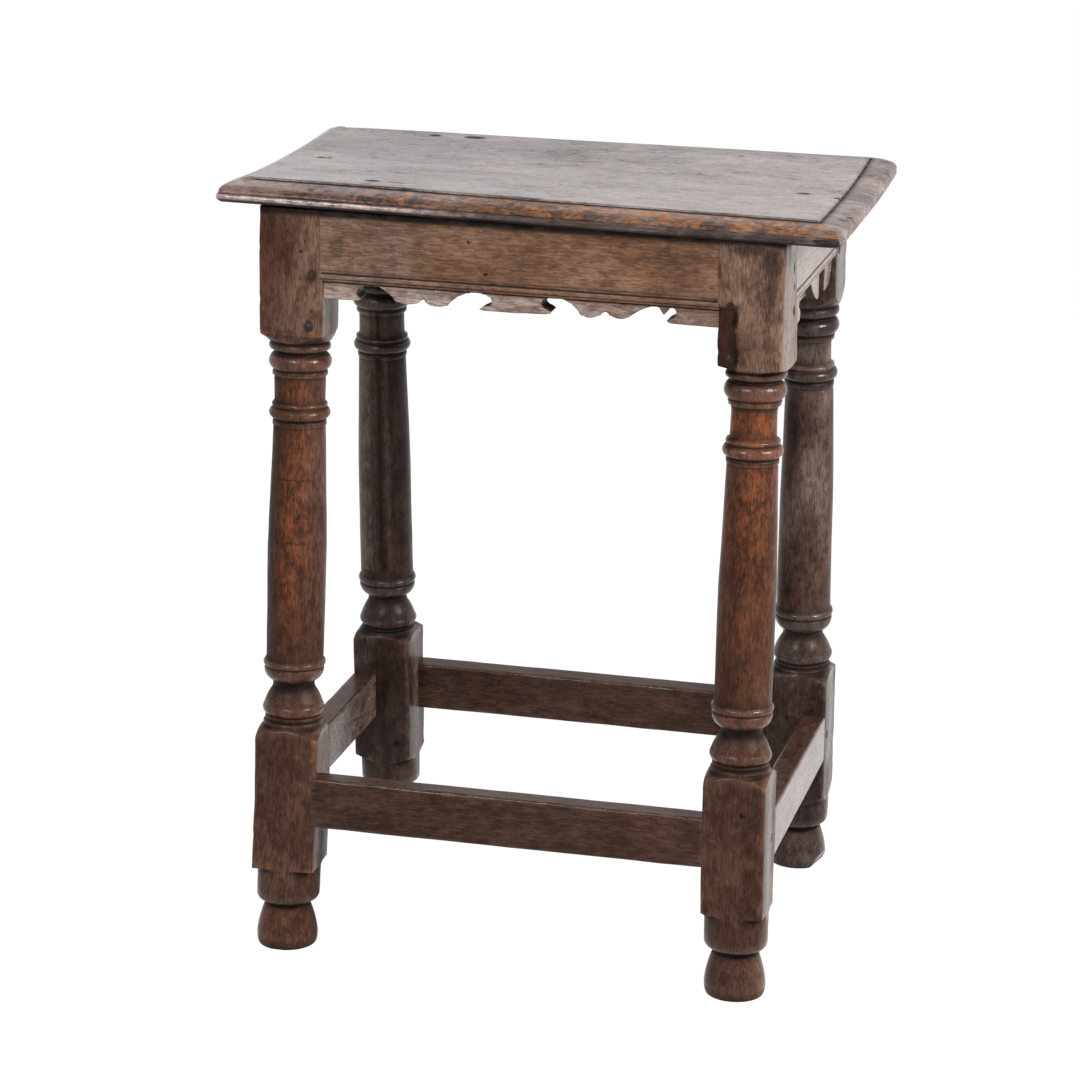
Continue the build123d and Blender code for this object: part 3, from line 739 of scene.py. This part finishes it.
def make_leg(corner, seed, material, colours):
    """One worn leg: a square blank with its turned profile."""
    up = leg_levels()
    u, a = np.meshgrid(up, leg_angles(), indexing="ij")
    probe = leg_points(HALF, a, u) + seed * 131.0
    near = lambda size, key: noise(probe, size, key).reshape(u.shape)
    square = blank_radius(corner, u, a, near)
    turned = turned_radius(corner, up)[:, None]
    sharp = 0.35
    blend = unit(0.5 + (turned - square) / (2 * sharp))
    radius = turned * (1 - blend) + square * blend - sharp * blend * (1 - blend)
    radius += 0.22 * near((24, 24, 60), 4) + 0.10 * near((5, 5, 14), 5)
    relief = radius - blur(radius, up, 4.5)
    arris = ramp(0.25, 0.0, np.abs(np.abs(np.tan(a)) - 1)) * ramp(ROUND, 28, radius)
    chips = unit(near((6, 6, 9), 6) - 0.45) * arris
    radius -= 1.6 * chips
    missing = missing_piece(corner, radius, u, a, near)
    radius -= 1.5 * missing
    if corner == "back_right":
        radius = broken_foot(radius, u, a)
    co = place_leg(corner, radius * np.cos(a), radius * np.sin(a), u)

    cloud = near((16, 16, 40), 8)
    column = np.any([(u > start) & (u < end) for start, end in COLUMNS], axis=0)
    warm, pale_and_sheen, dirt_and_shade = colours(np.degrees(a) % 360, u, cloud, column)
    grime_and_shade = unit(-relief * 0.75) + unit(-cloud - 0.35) * 0.4 + dirt_and_shade + missing * 0.62
    foot_groove = ramp(36, 31.6, u) * ramp(29, 31.5, u)
    # Darker at the foot and in its groove, and painted shadow close under the seat.
    grime_and_shade += ramp(7, 0, u) * 0.3 + shadow_under_seat(u) + foot_groove * 0.6
    wear_and_highlight = (unit(relief * 0.25) + arris * 0.3 + chips * 1.2) * (1 - missing)
    facing = unit(np.cos(a)) ** 6 * (corner != "back_left")
    low_sheen = 0 if corner == "front_left" else 0.1
    sheen = (u > 446) * 0.2 + (u < 160) * (u > 56) * low_sheen
    gloss = np.clip(relief * 0.6, 0, 0.22) * ~(radius > ROUND) + facing * sheen
    marks = {"grain": leg_points(radius, a, u) * MM + leg_origin(seed)}
    fields = {"grime_and_shade": grime_and_shade, "wear_and_highlight": wear_and_highlight, "warm": warm, "pale_and_sheen": pale_and_sheen * (1 - missing), "gloss": gloss}
    marks |= {key: field.ravel() for key, field in fields.items()}

    count, around = u.shape
    ends = [np.arange(around)[::-1], (count - 1) * around + np.arange(around)]
    co, faces, marks = capped(co, tube_faces(count, around), ends, marks)
    if corner.startswith("back"):
        faces = [f[::-1] for f in faces]
    piece = build("worn_leg_" + corner, co, faces, marks, material)
    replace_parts(piece, "leg_" + corner)


def capped(co, faces, ends, marks):
    """A tube closed at both ends by fans of triangles, with its marks held between 0 and 1."""
    faces = faces.tolist()
    for ring in ends:
        middle = len(co)
        co = np.vstack([co, co[ring].mean(0)])
        marks = {key: np.concatenate([value, value[ring].mean(0)[None]]) for key, value in marks.items()}
        faces += [(int(a), int(b), middle) for a, b in zip(ring, np.roll(ring, -1))]
    marks = {key: value if value.ndim == 2 else unit(value) for key, value in marks.items()}
    return co, faces, marks


make_leg("front_left", 1, FRONT_LEG, front_left_colours)
make_leg("front_right", 2, FRONT_LEG, front_right_colours)
make_leg("back_left", 3, BACK_LEG, back_left_colours)
make_leg("back_right", 4, BACK_LEG, back_right_colours)


# ----- rails and stretchers
# Points closer than this become one, in metres.
WELD = 1e-5


def remeshed(sources, size):
    """Closed meshes joined and meshed again in even squares, with their points and joined pairs."""
    joined = bmesh.new()
    for source in sources:
        joined.from_mesh(source)
    bmesh.ops.remove_doubles(joined, verts=joined.verts, dist=WELD)
    start = bpy.data.meshes.new("start")
    joined.to_mesh(start)
    work = bpy.data.objects.new("work", start)
    bpy.context.scene.collection.objects.link(work)
    again = work.modifiers.new("again", "REMESH")
    again.mode = "VOXEL"
    again.voxel_size = size * MM
    graph = bpy.context.evaluated_depsgraph_get()
    mesh = bpy.data.meshes.new_from_object(work.evaluated_get(graph))
    bpy.data.objects.remove(work)
    return mesh, read(mesh.vertices, "co", 3) / MM, read(mesh.edges, "vertices", 2, np.int32)


# How far the long rails' outer and inner faces lie outside the legs' axes.
RAIL_FACES = (18.5, 2.0)
# The cut border of a long rail as it is now, from its left end: (along, height) on its lower edge.
# It is joined to the plain part of the CAD rail, which is cut off a little below BORDER_TOP.
BORDER_END, BORDER_TOP = 139.5, 488.5
BORDER = [
    (-139.5, 474.6), (-126, 474.6), (-113.5, 474.9), (-111.8, 476.2), (-113.4, 477.4), (-115, 480),
    (-113.6, 483.2), (-110, 485.4), (-104, 486.4), (-98, 485.4), (-93.5, 482.4), (-89.5, 479.2),
    (-86.2, 476.6), (-82, 475), (-76, 474.9), (-71.5, 476.2), (-68.2, 478.6), (-66.6, 479.2),
    (-64.6, 477.4), (-61.5, 475.6), (-57.5, 474.7), (-53.8, 475), (-50, 476.6), (-46, 480), (-42, 483.2),
    (-37, 485.8), (-31, 486.6), (-26, 486.4), (-21.5, 485.4), (-18.8, 483), (-18.1, 480.4), (-20, 478),
    (-24, 476.6), (-27, 475.1), (-24.5, 474.4), (-12, 474.4), (0, 474.4), (14, 474.9), (21.5, 475.3),
    (23.8, 476.6), (21.3, 478.3), (18, 479.6), (16.5, 482.2), (17.6, 484.8), (21, 486.3), (26, 486.8),
    (32.5, 486.2), (37.5, 483.6), (41, 480.2), (44.2, 477), (48, 475.1), (51, 474.7), (55, 475.9),
    (58.8, 478.2), (61.3, 479.9), (63.4, 478.8), (66.3, 476.8), (70, 475.6), (74, 475.6), (78, 477.3),
    (81.5, 479.8), (85.5, 482.4), (90, 484.6), (94.5, 486.2), (98.4, 486.2), (100.2, 482.6), (102, 479.9),
    (103.7, 482.6), (106, 485.8), (109.4, 485.6), (111.1, 482.8), (109.8, 480), (106.6, 478.4),
    (103.6, 476.8), (106, 475.2), (116, 474.8), (139.5, 474.6),
]


def rail_with_border(node, flip):
    """A long rail's CAD mesh without its border, and the border drawn anew, as two closed meshes."""
    body = frame["nodes"][node].data.copy()
    co = read(body.vertices, "co", 3)
    cut = (np.abs(co[:, 0]) < (BORDER_END - 0.4) * MM) & (co[:, 2] < (LONG_FRET - 0.1) * MM)
    co[:, 2] = np.where(cut, (BORDER_TOP - 1) * MM, co[:, 2])
    body.vertices.foreach_set("co", co.ravel())
    border = bmesh.new()
    outline = [(-BORDER_END, BORDER_TOP)] + BORDER + [(BORDER_END, BORDER_TOP)]
    sides = []
    for inset in RAIL_FACES:
        places = [(flip * x, -flip * (LEG_Y - z * tan(RAKE) + inset), z) for x, z in outline]
        sides.append([border.verts.new((x * MM, y * MM, z * MM)) for x, y, z in places])
    front = border.faces.new(sides[0])
    back = border.faces.new(sides[1][::-1])
    for k in range(len(outline)):
        j = (k + 1) % len(outline)
        border.faces.new((sides[0][j], sides[0][k], sides[1][k], sides[1][j]))
    bmesh.ops.triangulate(border, faces=[front, back])
    bmesh.ops.recalc_face_normals(border, faces=border.faces)
    extra = bpy.data.meshes.new("border")
    border.to_mesh(extra)
    return [body, extra]


def relaxed(co, edges, rounds):
    """Points drawn towards their neighbours, which rounds sharp edges."""
    a, b = edges.T
    count = np.bincount(edges.ravel(), minlength=len(co))[:, None]
    for _ in range(rounds):
        sums = [np.bincount(a, co[b, k], len(co)) + np.bincount(b, co[a, k], len(co)) for k in range(3)]
        co = co * 0.4 + 0.6 * np.stack(sums, axis=1) / count
    return co


def set_points(mesh, co):
    mesh.vertices.foreach_set("co", (co * MM).astype(np.float32).ravel())
    mesh.update()


def normals(mesh, co):
    """Normals of the mesh's points, once they lie at co."""
    set_points(mesh, co)
    return read(mesh.vertices, "normal", 3)


def finish_remeshed(node, mesh, co, marks, material):
    """A worn piece from a mesh made again, in place of its CAD node."""
    set_points(mesh, co)
    mesh.materials.clear()
    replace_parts(finish_piece("worn_" + node, mesh, marks, material), node)


# Orders of the coordinates in which the grain's direction comes last.
AXES = {"x": (1, 2, 0), "y": (0, 2, 1)}
# Rows of (x, how much paler the cut border is there).
BORDER_PALENESS = [(-139, 1.0), (-80, 1.3), (-54, 1.6), (-10, 1.0), (60, 0.85), (120, 0.45), (139, 0.45)]


def make_bar(
    node, seed, material, along, size, rounding,
    fret=0.0, level=0.0, sources=None, painted_sheen_right=0.0, sheen=0.0,
):
    """A worn rail or stretcher from its CAD piece."""
    end = "xy".index(along)
    mesh, co, edges = remeshed(sources or [frame["nodes"][node].data], size)
    co = relaxed(co, edges, 2)
    out = normals(mesh, co)
    soft = relaxed(co, edges, rounding)
    relief = ((co - soft) * out).sum(1)
    probe = co + seed * 97.0
    amount = 0.35 + 0.65 * ramp(-0.5, 0.6, noise(probe, 22, 1))
    chips = unit(noise(probe, 7, 2) - 0.4) * ramp(0.25, 0.8, relief)
    worn = co + (soft - co) * (amount * ramp(0.02, 0.4, relief))[:, None]
    worn -= out * (1.2 * chips)[:, None]
    worn += out * (0.16 * noise(probe, 26, 3) + 0.05 * noise(probe, 6, 4))[:, None]
    # The ends reach a little way into the legs, so that no gap opens where a leg has moved.
    far = np.abs(co[:, end])
    shoulder = LEG_X - HALF if along == "x" else far[np.abs(out[:, end]) > 0.9].min()
    worn[:, end] += np.sign(co[:, end]) * 1.8 * ramp(shoulder - 5, shoulder, far)

    cloud = noise(probe, 30, 5)
    faced = np.abs(out[:, 1 - end])
    below = ramp(fret + 0.3, fret - 1.2, co[:, 2]) * (fret > 0)
    # The cut border's face is paler, by an amount that changes along the rail.
    border_paleness = below * ramp(0.6, 0.9, faced) * (0.75 + 0.5 * noise(probe, 14, 6)) * curve(BORDER_PALENESS, co[:, 0])
    left_end = (fret == LONG_FRET) * (1 - below) * ramp(-40, -125, co[:, 0])
    # Paler towards the rail's left end.
    paler_left_end = left_end * faced * (0.2 + 0.2 * noise(probe, 24, 8))
    # Faces that look to the right are painted paler here, as painted sheen.
    right = ramp(0.7, 0.95, out[:, 0]) * (0.8 + 0.4 * noise(probe, 30, 7)) * (1 - 0.5 * below)
    pale_and_sheen = np.maximum(np.maximum(border_paleness, paler_left_end), painted_sheen_right * right)
    grime_and_shade = np.clip(-relief * 1.1, 0, 0.85) + unit(-cloud - 0.4) * 0.4
    # The border's cut edges are darkened, as painted shade.
    grime_and_shade = np.maximum(grime_and_shade, below * ramp(0.7, 0.3, faced) * 0.7)
    # Painted shadow close under the seat.
    grime_and_shade = np.maximum(grime_and_shade, shadow_under_seat(co[:, 2]))
    wear_and_highlight = (unit(relief * 0.9) * (0.4 + 0.6 * amount) + chips) * (1 - below)
    marks = {
        "grain": co[:, AXES[along]] * MM + bar_origin(seed, level),
        "grime_and_shade": unit(grime_and_shade),
        "wear_and_highlight": unit(wear_and_highlight),
        "warm": 0.2 + unit(cloud) * 0.3,
        "pale_and_sheen": unit(pale_and_sheen),
        "gloss": unit(relief * 0.5 + sheen * right),
    }
    mesh.name = "worn_" + node
    finish_remeshed(node, mesh, worn + frame_shift(worn), marks, material)


for node, seed, flip in (("rail_front", FRONT_RAIL_SEED, 1), ("rail_back", 11, -1)):
    sources = rail_with_border(node, flip)
    make_bar(node, seed, RAIL, "x", 0.8, 3, LONG_FRET, LONG_LEVEL, sources)
make_bar("rail_left", 12, END_RAIL, "y", 0.8, 3, END_FRET, END_LEVEL)
make_bar("rail_right", 13, END_RAIL, "y", 0.8, 3, END_FRET, END_LEVEL, painted_sheen_right=0.35, sheen=0.6)
make_bar("stretcher_front", 20, LOW_RAIL, "x", 0.9, 9)
make_bar("stretcher_back", 21, LOW_RAIL, "x", 0.9, 9)
make_bar("stretcher_left", 22, LOW_RAIL, "y", 0.8, 9, painted_sheen_right=0.42, sheen=0.38)
make_bar("stretcher_right", 23, LOW_RAIL, "y", 0.8, 9, painted_sheen_right=0.85, sheen=0.85)


# ----- seat
def seat_profile():
    """Rows of (inset from the outer edge, height) from the underside round the nose to the top."""
    rows = [(d, UNDERSIDE) for d in (127.5, 116, 104, 92, 80, 68, 56, 44, 32, 22, 14, 8, 5, 3.4)]
    rows += [
        (2.5, 536.2), (1.6, 536.7), (0.8, 537.5), (0.3, 538.3), (0.05, 539.1), (0, 539.8), (0.15, 540.6),
        (0.5, 541.2), (1, 541.6), (1.6, 541.9), (1.5, 542.3),
    ]
    rows += [(13.2 - 11.8 * cos(t), 542.5 + 5.9 * sin(t)) for t in np.linspace(0.08, pi / 2, 12)]
    rows += [
        (13.8, 548.2), (14.4, 548.1), (15.2, 548.1), (15.7, 548.3), (16, 549), (16.2, 549.7),
        (16.7, 549.95), (17.6, 550),
    ]
    rows += [(d, SEAT_TOP) for d in (20, 24, 29, 35, 42, 50, 58, 66, 74, 82, 90, 98, 106, 114, 121, 127.5)]
    return np.array(rows)


# Radii of the seat's corners: front left, front right, back right, back left.
CORNER_RADII = (8.0, 8.0, 15.0, 9.0)
# How many points a ring has along each long side, each end and each corner.
AROUND = (200, 116, 9)


def seat_ring(inset):
    """A rectangle of points with its corners rounded, inset from the outer edge."""
    half = np.array([SEAT_X - inset, SEAT_Y - inset])
    long, short, corner = AROUND
    radii = [min(max(r - inset, 0.35), half[1]) for r in CORNER_RADII]
    t = np.linspace(0, 1, corner + 2)[1:-1] * pi / 2
    runs = []
    corners = ((-1, -1), (1, -1), (1, 1), (-1, 1))
    for k in range(4):
        a, b = np.array(corners[k]), np.array(corners[(k + 1) % 4])
        ra, rb = radii[k], radii[(k + 1) % 4]
        way = (b - a) / 2
        start, stop = a * half + way * ra, b * half - way * rb
        runs.append(start + np.linspace(0, 1, long if way[0] else short)[:, None] * (stop - start))
        turn = np.array([-way[1], way[0]])
        runs.append(stop + turn * rb + rb * (way * np.sin(t)[:, None] - turn * np.cos(t)[:, None]))
    return np.vstack(runs)


def seat_lift(x, y, corners):
    """Height shared out between the four corners: front left, front right, back left, back right."""
    s, t = x / SEAT_X, y / SEAT_Y
    front_left, front_right, back_left, back_right = corners
    front = (1 - t) * ((1 - s) * front_left + (1 + s) * front_right)
    back = (1 + t) * ((1 - s) * back_left + (1 + s) * back_right)
    return 0.25 * (front + back)


def worn_end(x):
    """0 on most of the seat and 1 at its left end, where it is worn away."""
    return ramp(-170, -219, x)


# Rows of (x, how much wider than on the ends the front moulding was worked).
FRONT_BAND = [(-220, 15), (-110, 14), (-60, 12.5), (0, 11), (60, 11), (120, 9.5), (170, 10), (220, 9)]


def seat_drift(x, y):
    """How far points of the seat's plan are from the CAD's: ends worn and bowed, moulding worked wider."""
    t = y / SEAT_Y
    pull = worn_end(x) * (5.5 + 2.5 * (1 - t * t))
    bow = ramp(120, 219, x) * (0.7 + 3.2 * np.maximum(t, 0) ** 2)
    from_right = np.where(x > 0, SEAT_X - x, 60)
    from_front = SEAT_Y + y
    end_band = 4.3 * ramp(1.6, 14, from_right) * ramp(60, 17.6, from_right)
    front_band = curve(FRONT_BAND, x) * ramp(1.6, 14, from_front) * ramp(80, 17.6, from_front)
    return pull - bow - end_band, front_band


def seat_shape(co):
    """How the old board has shrunk, cupped and twisted."""
    x, y, z = co.T
    t = y / SEAT_Y
    top = seat_lift(x, y, (1.9, -2.0, -0.9, 1.3)) - 2.4 * (1 - t * t)
    free = np.maximum(ramp(170, 218, np.abs(x)), ramp(100, 127, np.abs(y)))
    under = seat_lift(x, y, (2.0, -1.4, -1.2, 0.6)) * free
    share = unit((z - UNDERSIDE) / (SEAT_TOP - UNDERSIDE))
    sag = worn_end(x) * ramp(-0.9, 0.2, t) * 0.8
    z = z + under * (1 - share) + (top - sag) * share
    along, across = seat_drift(x, y)
    return np.stack([x + along, y + across, np.minimum(z, BOX_TOP - 0.1)], axis=1)


def profile_relief(profile):
    """How far each point of the seat's profile stands out from those about it."""
    steps = np.concatenate([[0], np.cumsum(np.linalg.norm(np.diff(profile, axis=0), axis=1))])
    tangent = np.gradient(profile, steps, axis=0)
    outward = np.stack([-tangent[:, 1], tangent[:, 0]], 1) / np.linalg.norm(tangent, axis=1)[:, None]
    return ((profile - blur(profile, steps, 2.2)) * outward).sum(1)


def seat_faces(levels, count):
    """The board's skin between its rings, and strips across its underside and its top."""
    long, short, corner = AROUND
    faces = tube_faces(levels, count)
    first = np.arange(long - 1)
    far = long + short + 2 * corner
    for base, flip in ((0, True), ((levels - 1) * count, False)):
        a, d = base + first, base + far + long - 1 - first
        strip = np.stack([a, a + 1, d - 1, d], 1)
        faces = np.vstack([faces, strip[:, ::-1] if flip else strip])
    return faces


def seat_marks(co, inset, relief, chips, probe, left_end):
    """How worn, dirty, warm, pale and glossy each point of the seat is, with painted light and shade on its
    lip, moulding, nose and field.
    """
    x, y, z = co.T
    cloud = noise(probe, (60, 40, 40), 5)
    streaks = noise(probe, (70, 9, 40), 6)
    nose = ramp(4, 0, inset)
    upper = z > 545
    # Parts of the board: its front with the mitre at the right, the field, the moulding and its lip.
    mitre = ramp(2.5, -1.5, SEAT_Y + y - SEAT_X + x)
    front = ramp(-100, -118, y) * mitre
    flat = ramp(12, 18, inset) * upper
    flat = np.maximum(flat, ramp(-200, -208, x) * ramp(4, 8, inset) * upper)
    ovolo = ramp(14.5, 12, inset) * ramp(541.5, 543.5, z)
    lip = ramp(538.4, 539.6, z) * ramp(542.0, 541.3, z) * nose
    # The lip and the front moulding are painted as lit at the left and shaded at the right.
    painted_light_left = ramp(60, -160, x)

    grime_and_shade = np.clip(-relief * 1.3, 0, 0.9) + unit(-cloud - 0.3) * 0.3
    # Painted shade under the nose and on the underside.
    grime_and_shade += ramp(539.0, 538.0, z) * (inset < 30) * 0.85
    grime_and_shade += lip * (1 - painted_light_left) * 0.78 * front + ovolo * front * (0.08 - 0.02 * painted_light_left)
    groove = bump(inset, 14.8, 3.6) * upper * (1 - left_end)
    under_ovolo = ramp(7, 3, inset) * ramp(541.7, 542.4, z) * front
    margin = ramp(27, 18, inset) * front * upper
    corner = ramp(202, 214, x) * front * ramp(543.6, 541.6, z)
    grime_and_shade += groove * 0.45 + under_ovolo * (0.25 + 0.1 * (1 - painted_light_left)) + corner * 0.8 + margin * 0.06

    # Lighter at the front and towards the right of the field: painted sheen; the darker back and the noise
    # are the board's own tone.
    tone_and_sheen = 0.9 * np.clip(streaks, -1, 1) + 0.45 * cloud
    tone_and_sheen += 0.25 * ramp(-60, 160, x - y * 0.6) + 0.55 * ramp(20, 160, x)
    tone_and_sheen += 0.3 * ramp(10, -50, y) - 0.55 * ramp(15, 110, y)
    tone_and_sheen += 0.4 * ramp(30, 120, x) * ramp(40, -20, y)
    wear_and_highlight = unit(relief * 0.6) * ramp(20, 12, inset) * (1 - ovolo) + chips * 0.6 + lip * painted_light_left
    # The moulding at the right end is painted paler, as painted sheen.
    end_ovolo_sheen = ovolo * ramp(190, 205, x) * (1 - front)
    return {
        "grain": co[:, AXES["x"]] * MM,
        "grime_and_shade": unit(grime_and_shade),
        "wear_and_highlight": unit(wear_and_highlight),
        "warm": ovolo * front * (1.0 - 0.45 * painted_light_left * (1 + cloud)),
        "pale_and_sheen": unit(tone_and_sheen) * flat * 0.5 + lip * painted_light_left * 0.55 + end_ovolo_sheen * 0.25,
        "gloss": flat * unit(0.78 + 0.4 * tone_and_sheen) + lip * 0.7 * painted_light_left + ovolo * (0.05 + 0.35 * painted_light_left),
    }


def make_seat():
    """The worn board, as rings of points from its underside round the nose to its top."""
    profile = seat_profile()
    rings = np.array([seat_ring(inset) for inset, _ in profile])
    count = rings.shape[1]
    inset = np.repeat(profile[:, 0], count)
    relief = np.repeat(profile_relief(profile), count)
    co = np.column_stack([rings.reshape(-1, 2), np.repeat(profile[:, 1], count)])
    probe = co + 311.0
    # The moulding is worn flat at the left end, and rounded over at the right.
    left_end = ramp(-196, -202, co[:, 0]) * (inset > 12.5)
    co[:, 2] += (SEAT_TOP - co[:, 2]) * left_end * (inset < 17.7) * 0.9
    rounded = ramp(196, 206, co[:, 0]) * (co[:, 2] > 541.3)
    relief *= (1 - left_end) * (1 - rounded * (inset < 4))
    co[:, 0] += rounded * np.minimum(np.maximum(inset - 0.1, 0), 1.4 * unit((13.2 - inset) / 11.8))
    uneven = 0.25 * noise(probe, (70, 40, 30), 1) + 0.12 * noise(probe, (26, 12, 30), 2)
    co[:, 2] += uneven * (inset > 6)
    nose = ramp(4, 0, inset)
    chips = unit(noise(probe, (9, 9, 5), 3) - 0.35) * nose
    inward = -np.sign(co[:, :2]) * (np.abs(co[:, :2]) > [SEAT_X - 20, SEAT_Y - 20])
    co[:, :2] += inward * (0.9 * chips + 0.25 * nose * (1 + noise(probe, (30, 30, 30), 4)))[:, None]
    faces = seat_faces(len(profile), count)
    marks = seat_marks(co, inset, relief, chips, probe, left_end)
    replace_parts(build("worn_top_board", seat_shape(co), faces, marks, SEAT), "top_board")


make_seat()


# ----- pegs and nails
def make_small(node, material, size, place, gloss=0.0):
    """Pegs or nails from their CAD piece, softened and put where the old frame has them."""
    mesh, co, edges = remeshed([frame["nodes"][node].data], size)
    co = relaxed(co, edges, 2)
    marks = {"grain": co[:, AXES["y"]] * MM, "grime_and_shade": 0.6 * bump(co[:, 2], 490, 9)}
    marks |= {key: np.zeros(len(co)) for key in ("wear_and_highlight", "warm", "pale_and_sheen")}
    marks["gloss"] = np.full(len(co), gloss)
    finish_remeshed(node, mesh, place(co), marks, material)


def in_seat(co):
    """Pegs through the seat, worn down with it."""
    x, y = co[:, 0].copy(), co[:, 1].copy()
    # Steps towards the points of the new board that have moved to where the pegs are.
    for _ in range(40):
        along, across = seat_drift(x, y)
        x += 0.35 * (co[:, 0] - x - along)
        y += 0.35 * (co[:, 1] - y - across)
    inset = np.minimum(SEAT_X - np.abs(x), SEAT_Y - np.abs(y))
    profile = seat_profile()
    surface = profile[profile[:, 1] > 543]
    top = seat_shape(np.column_stack([x, y, curve(surface, inset)]))
    flush = np.where(inset < 21, -0.5, 0.05)
    z = np.where(co[:, 2] > 545, co[:, 2] - BOX_TOP + top[:, 2] + flush, co[:, 2])
    return np.column_stack([co[:, :2], np.minimum(z, BOX_TOP)])


def nailed(co):
    """Nails in the front legs, the right one deeper where a piece of the leg is gone."""
    out = carried(co)
    out[:, 1] += 1.6 * (co[:, 0] > 0)
    return out


for node in frame["nodes"]:
    if node == "leg_nails":
        make_small(node, IRON, 0.35, nailed)
    elif node == "top_pegs":
        make_small(node, SEAT, 0.6, in_seat, 0.7)
    elif node.endswith("_pegs"):
        make_small(node, PEG, 0.5, carried)


# ----- camera, floor and light
def aimed(azimuth, elevation):
    """Directions right, up and back of something that looks at the stool, azimuth 0 being in front."""
    a, e = radians(azimuth), radians(elevation)
    back = np.array([sin(a) * cos(e), -cos(a) * cos(e), sin(e)])
    right = np.cross([0, 0, 1], back)
    right /= np.linalg.norm(right)
    return right, np.cross(back, right), back


def placed(name, data, axes, place):
    """A camera or lamp in the scene, with its three axes and its place in metres."""
    thing = bpy.data.objects.new(name, data)
    bpy.context.scene.collection.objects.link(thing)
    turn = np.eye(4)
    turn[:3] = np.column_stack([*axes, place])
    thing.matrix_world = Matrix(turn.tolist())
    return thing


def camera():
    right, up, back = aimed(14.263, 17.178)
    roll = radians(-0.853)
    data = bpy.data.cameras.new("camera")
    data.lens = 117.857
    data.sensor_width = 36.0
    data.clip_end = 50
    axes = (cos(roll) * right - sin(roll) * up, sin(roll) * right + cos(roll) * up, back)
    bpy.context.scene.camera = placed("camera", data, axes, (0.587014, -2.360783, 1.031121))


def add(tree, kind, **inputs):
    """A shader node with the values of its inputs."""
    node = tree.nodes.new("ShaderNode" + kind)
    for key, value in inputs.items():
        node.inputs[key].default_value = value
    return node


def seen_itself(tree):
    """1 where the camera or a reflection sees the surface, 0 for its light on other things."""
    path = add(tree, "LightPath")
    seen = path.outputs["Is Camera Ray"]
    for key in ("Is Glossy Ray", "Is Transmission Ray"):
        both = add(tree, "Math")
        both.operation = "MAXIMUM"
        tree.links.new(seen, both.inputs[0])
        tree.links.new(path.outputs[key], both.inputs[1])
        seen = both.outputs[0]
    return seen


def mixed(tree, share, first, second, output):
    """Two shaders mixed and wired to the tree's output."""
    mix = add(tree, "MixShader")
    for value, socket in zip((share, first.outputs[0], second.outputs[0]), mix.inputs):
        tree.links.new(value, socket)
    tree.links.new(mix.outputs[0], add(tree, output).inputs["Surface"])


WHITE = (1, 1, 1, 1)


def floor():
    """A pale floor that is almost pure white to the eye, apart from the stool's shadow."""
    bpy.ops.mesh.primitive_plane_add(size=12, location=(0, 0, 0))
    thing = bpy.context.object
    thing.name = "floor"
    material = bpy.data.materials.new("pale_floor")
    material.use_nodes = True
    tree = material.node_tree
    tree.nodes.clear()
    plain = add(tree, "BsdfDiffuse", Color=(0.8, 0.8, 0.8, 1))
    glow = add(tree, "Emission", Color=WHITE, Strength=1.08)
    seen = seen_itself(tree)
    share = add(tree, "Math")
    share.operation = "MULTIPLY"
    share.inputs[1].default_value = 0.9
    tree.links.new(seen, share.inputs[0])
    mixed(tree, share.outputs[0], plain, glow, "OutputMaterial")
    thing.data.materials.append(material)


def world():
    """White to the eye, and an even soft light on the stool."""
    sky = bpy.data.worlds.new("studio")
    bpy.context.scene.world = sky
    sky.use_nodes = True
    tree = sky.node_tree
    tree.nodes.clear()
    light = add(tree, "Background", Color=WHITE, Strength=0.45)
    white = add(tree, "Background", Color=WHITE, Strength=1.0)
    mixed(tree, seen_itself(tree), light, white, "OutputWorld")


def lamp(name, azimuth, elevation, distance, width, height, watts):
    """A soft box that looks at the middle of the stool."""
    data = bpy.data.lights.new(name, "AREA")
    data.shape = "RECTANGLE"
    data.size, data.size_y = width, height
    data.energy = watts
    axes = aimed(azimuth, elevation)
    placed(name, data, axes, np.array([0, 0, 0.3]) + axes[2] * distance)


camera()
floor()
world()
lamp("soft_box_left", -20, 36, 1.7, 0.4, 0.4, 11)
lamp("soft_box_right", 72, 34, 1.7, 0.5, 0.5, 34)
bpy.context.scene.view_settings.view_transform = "Standard"
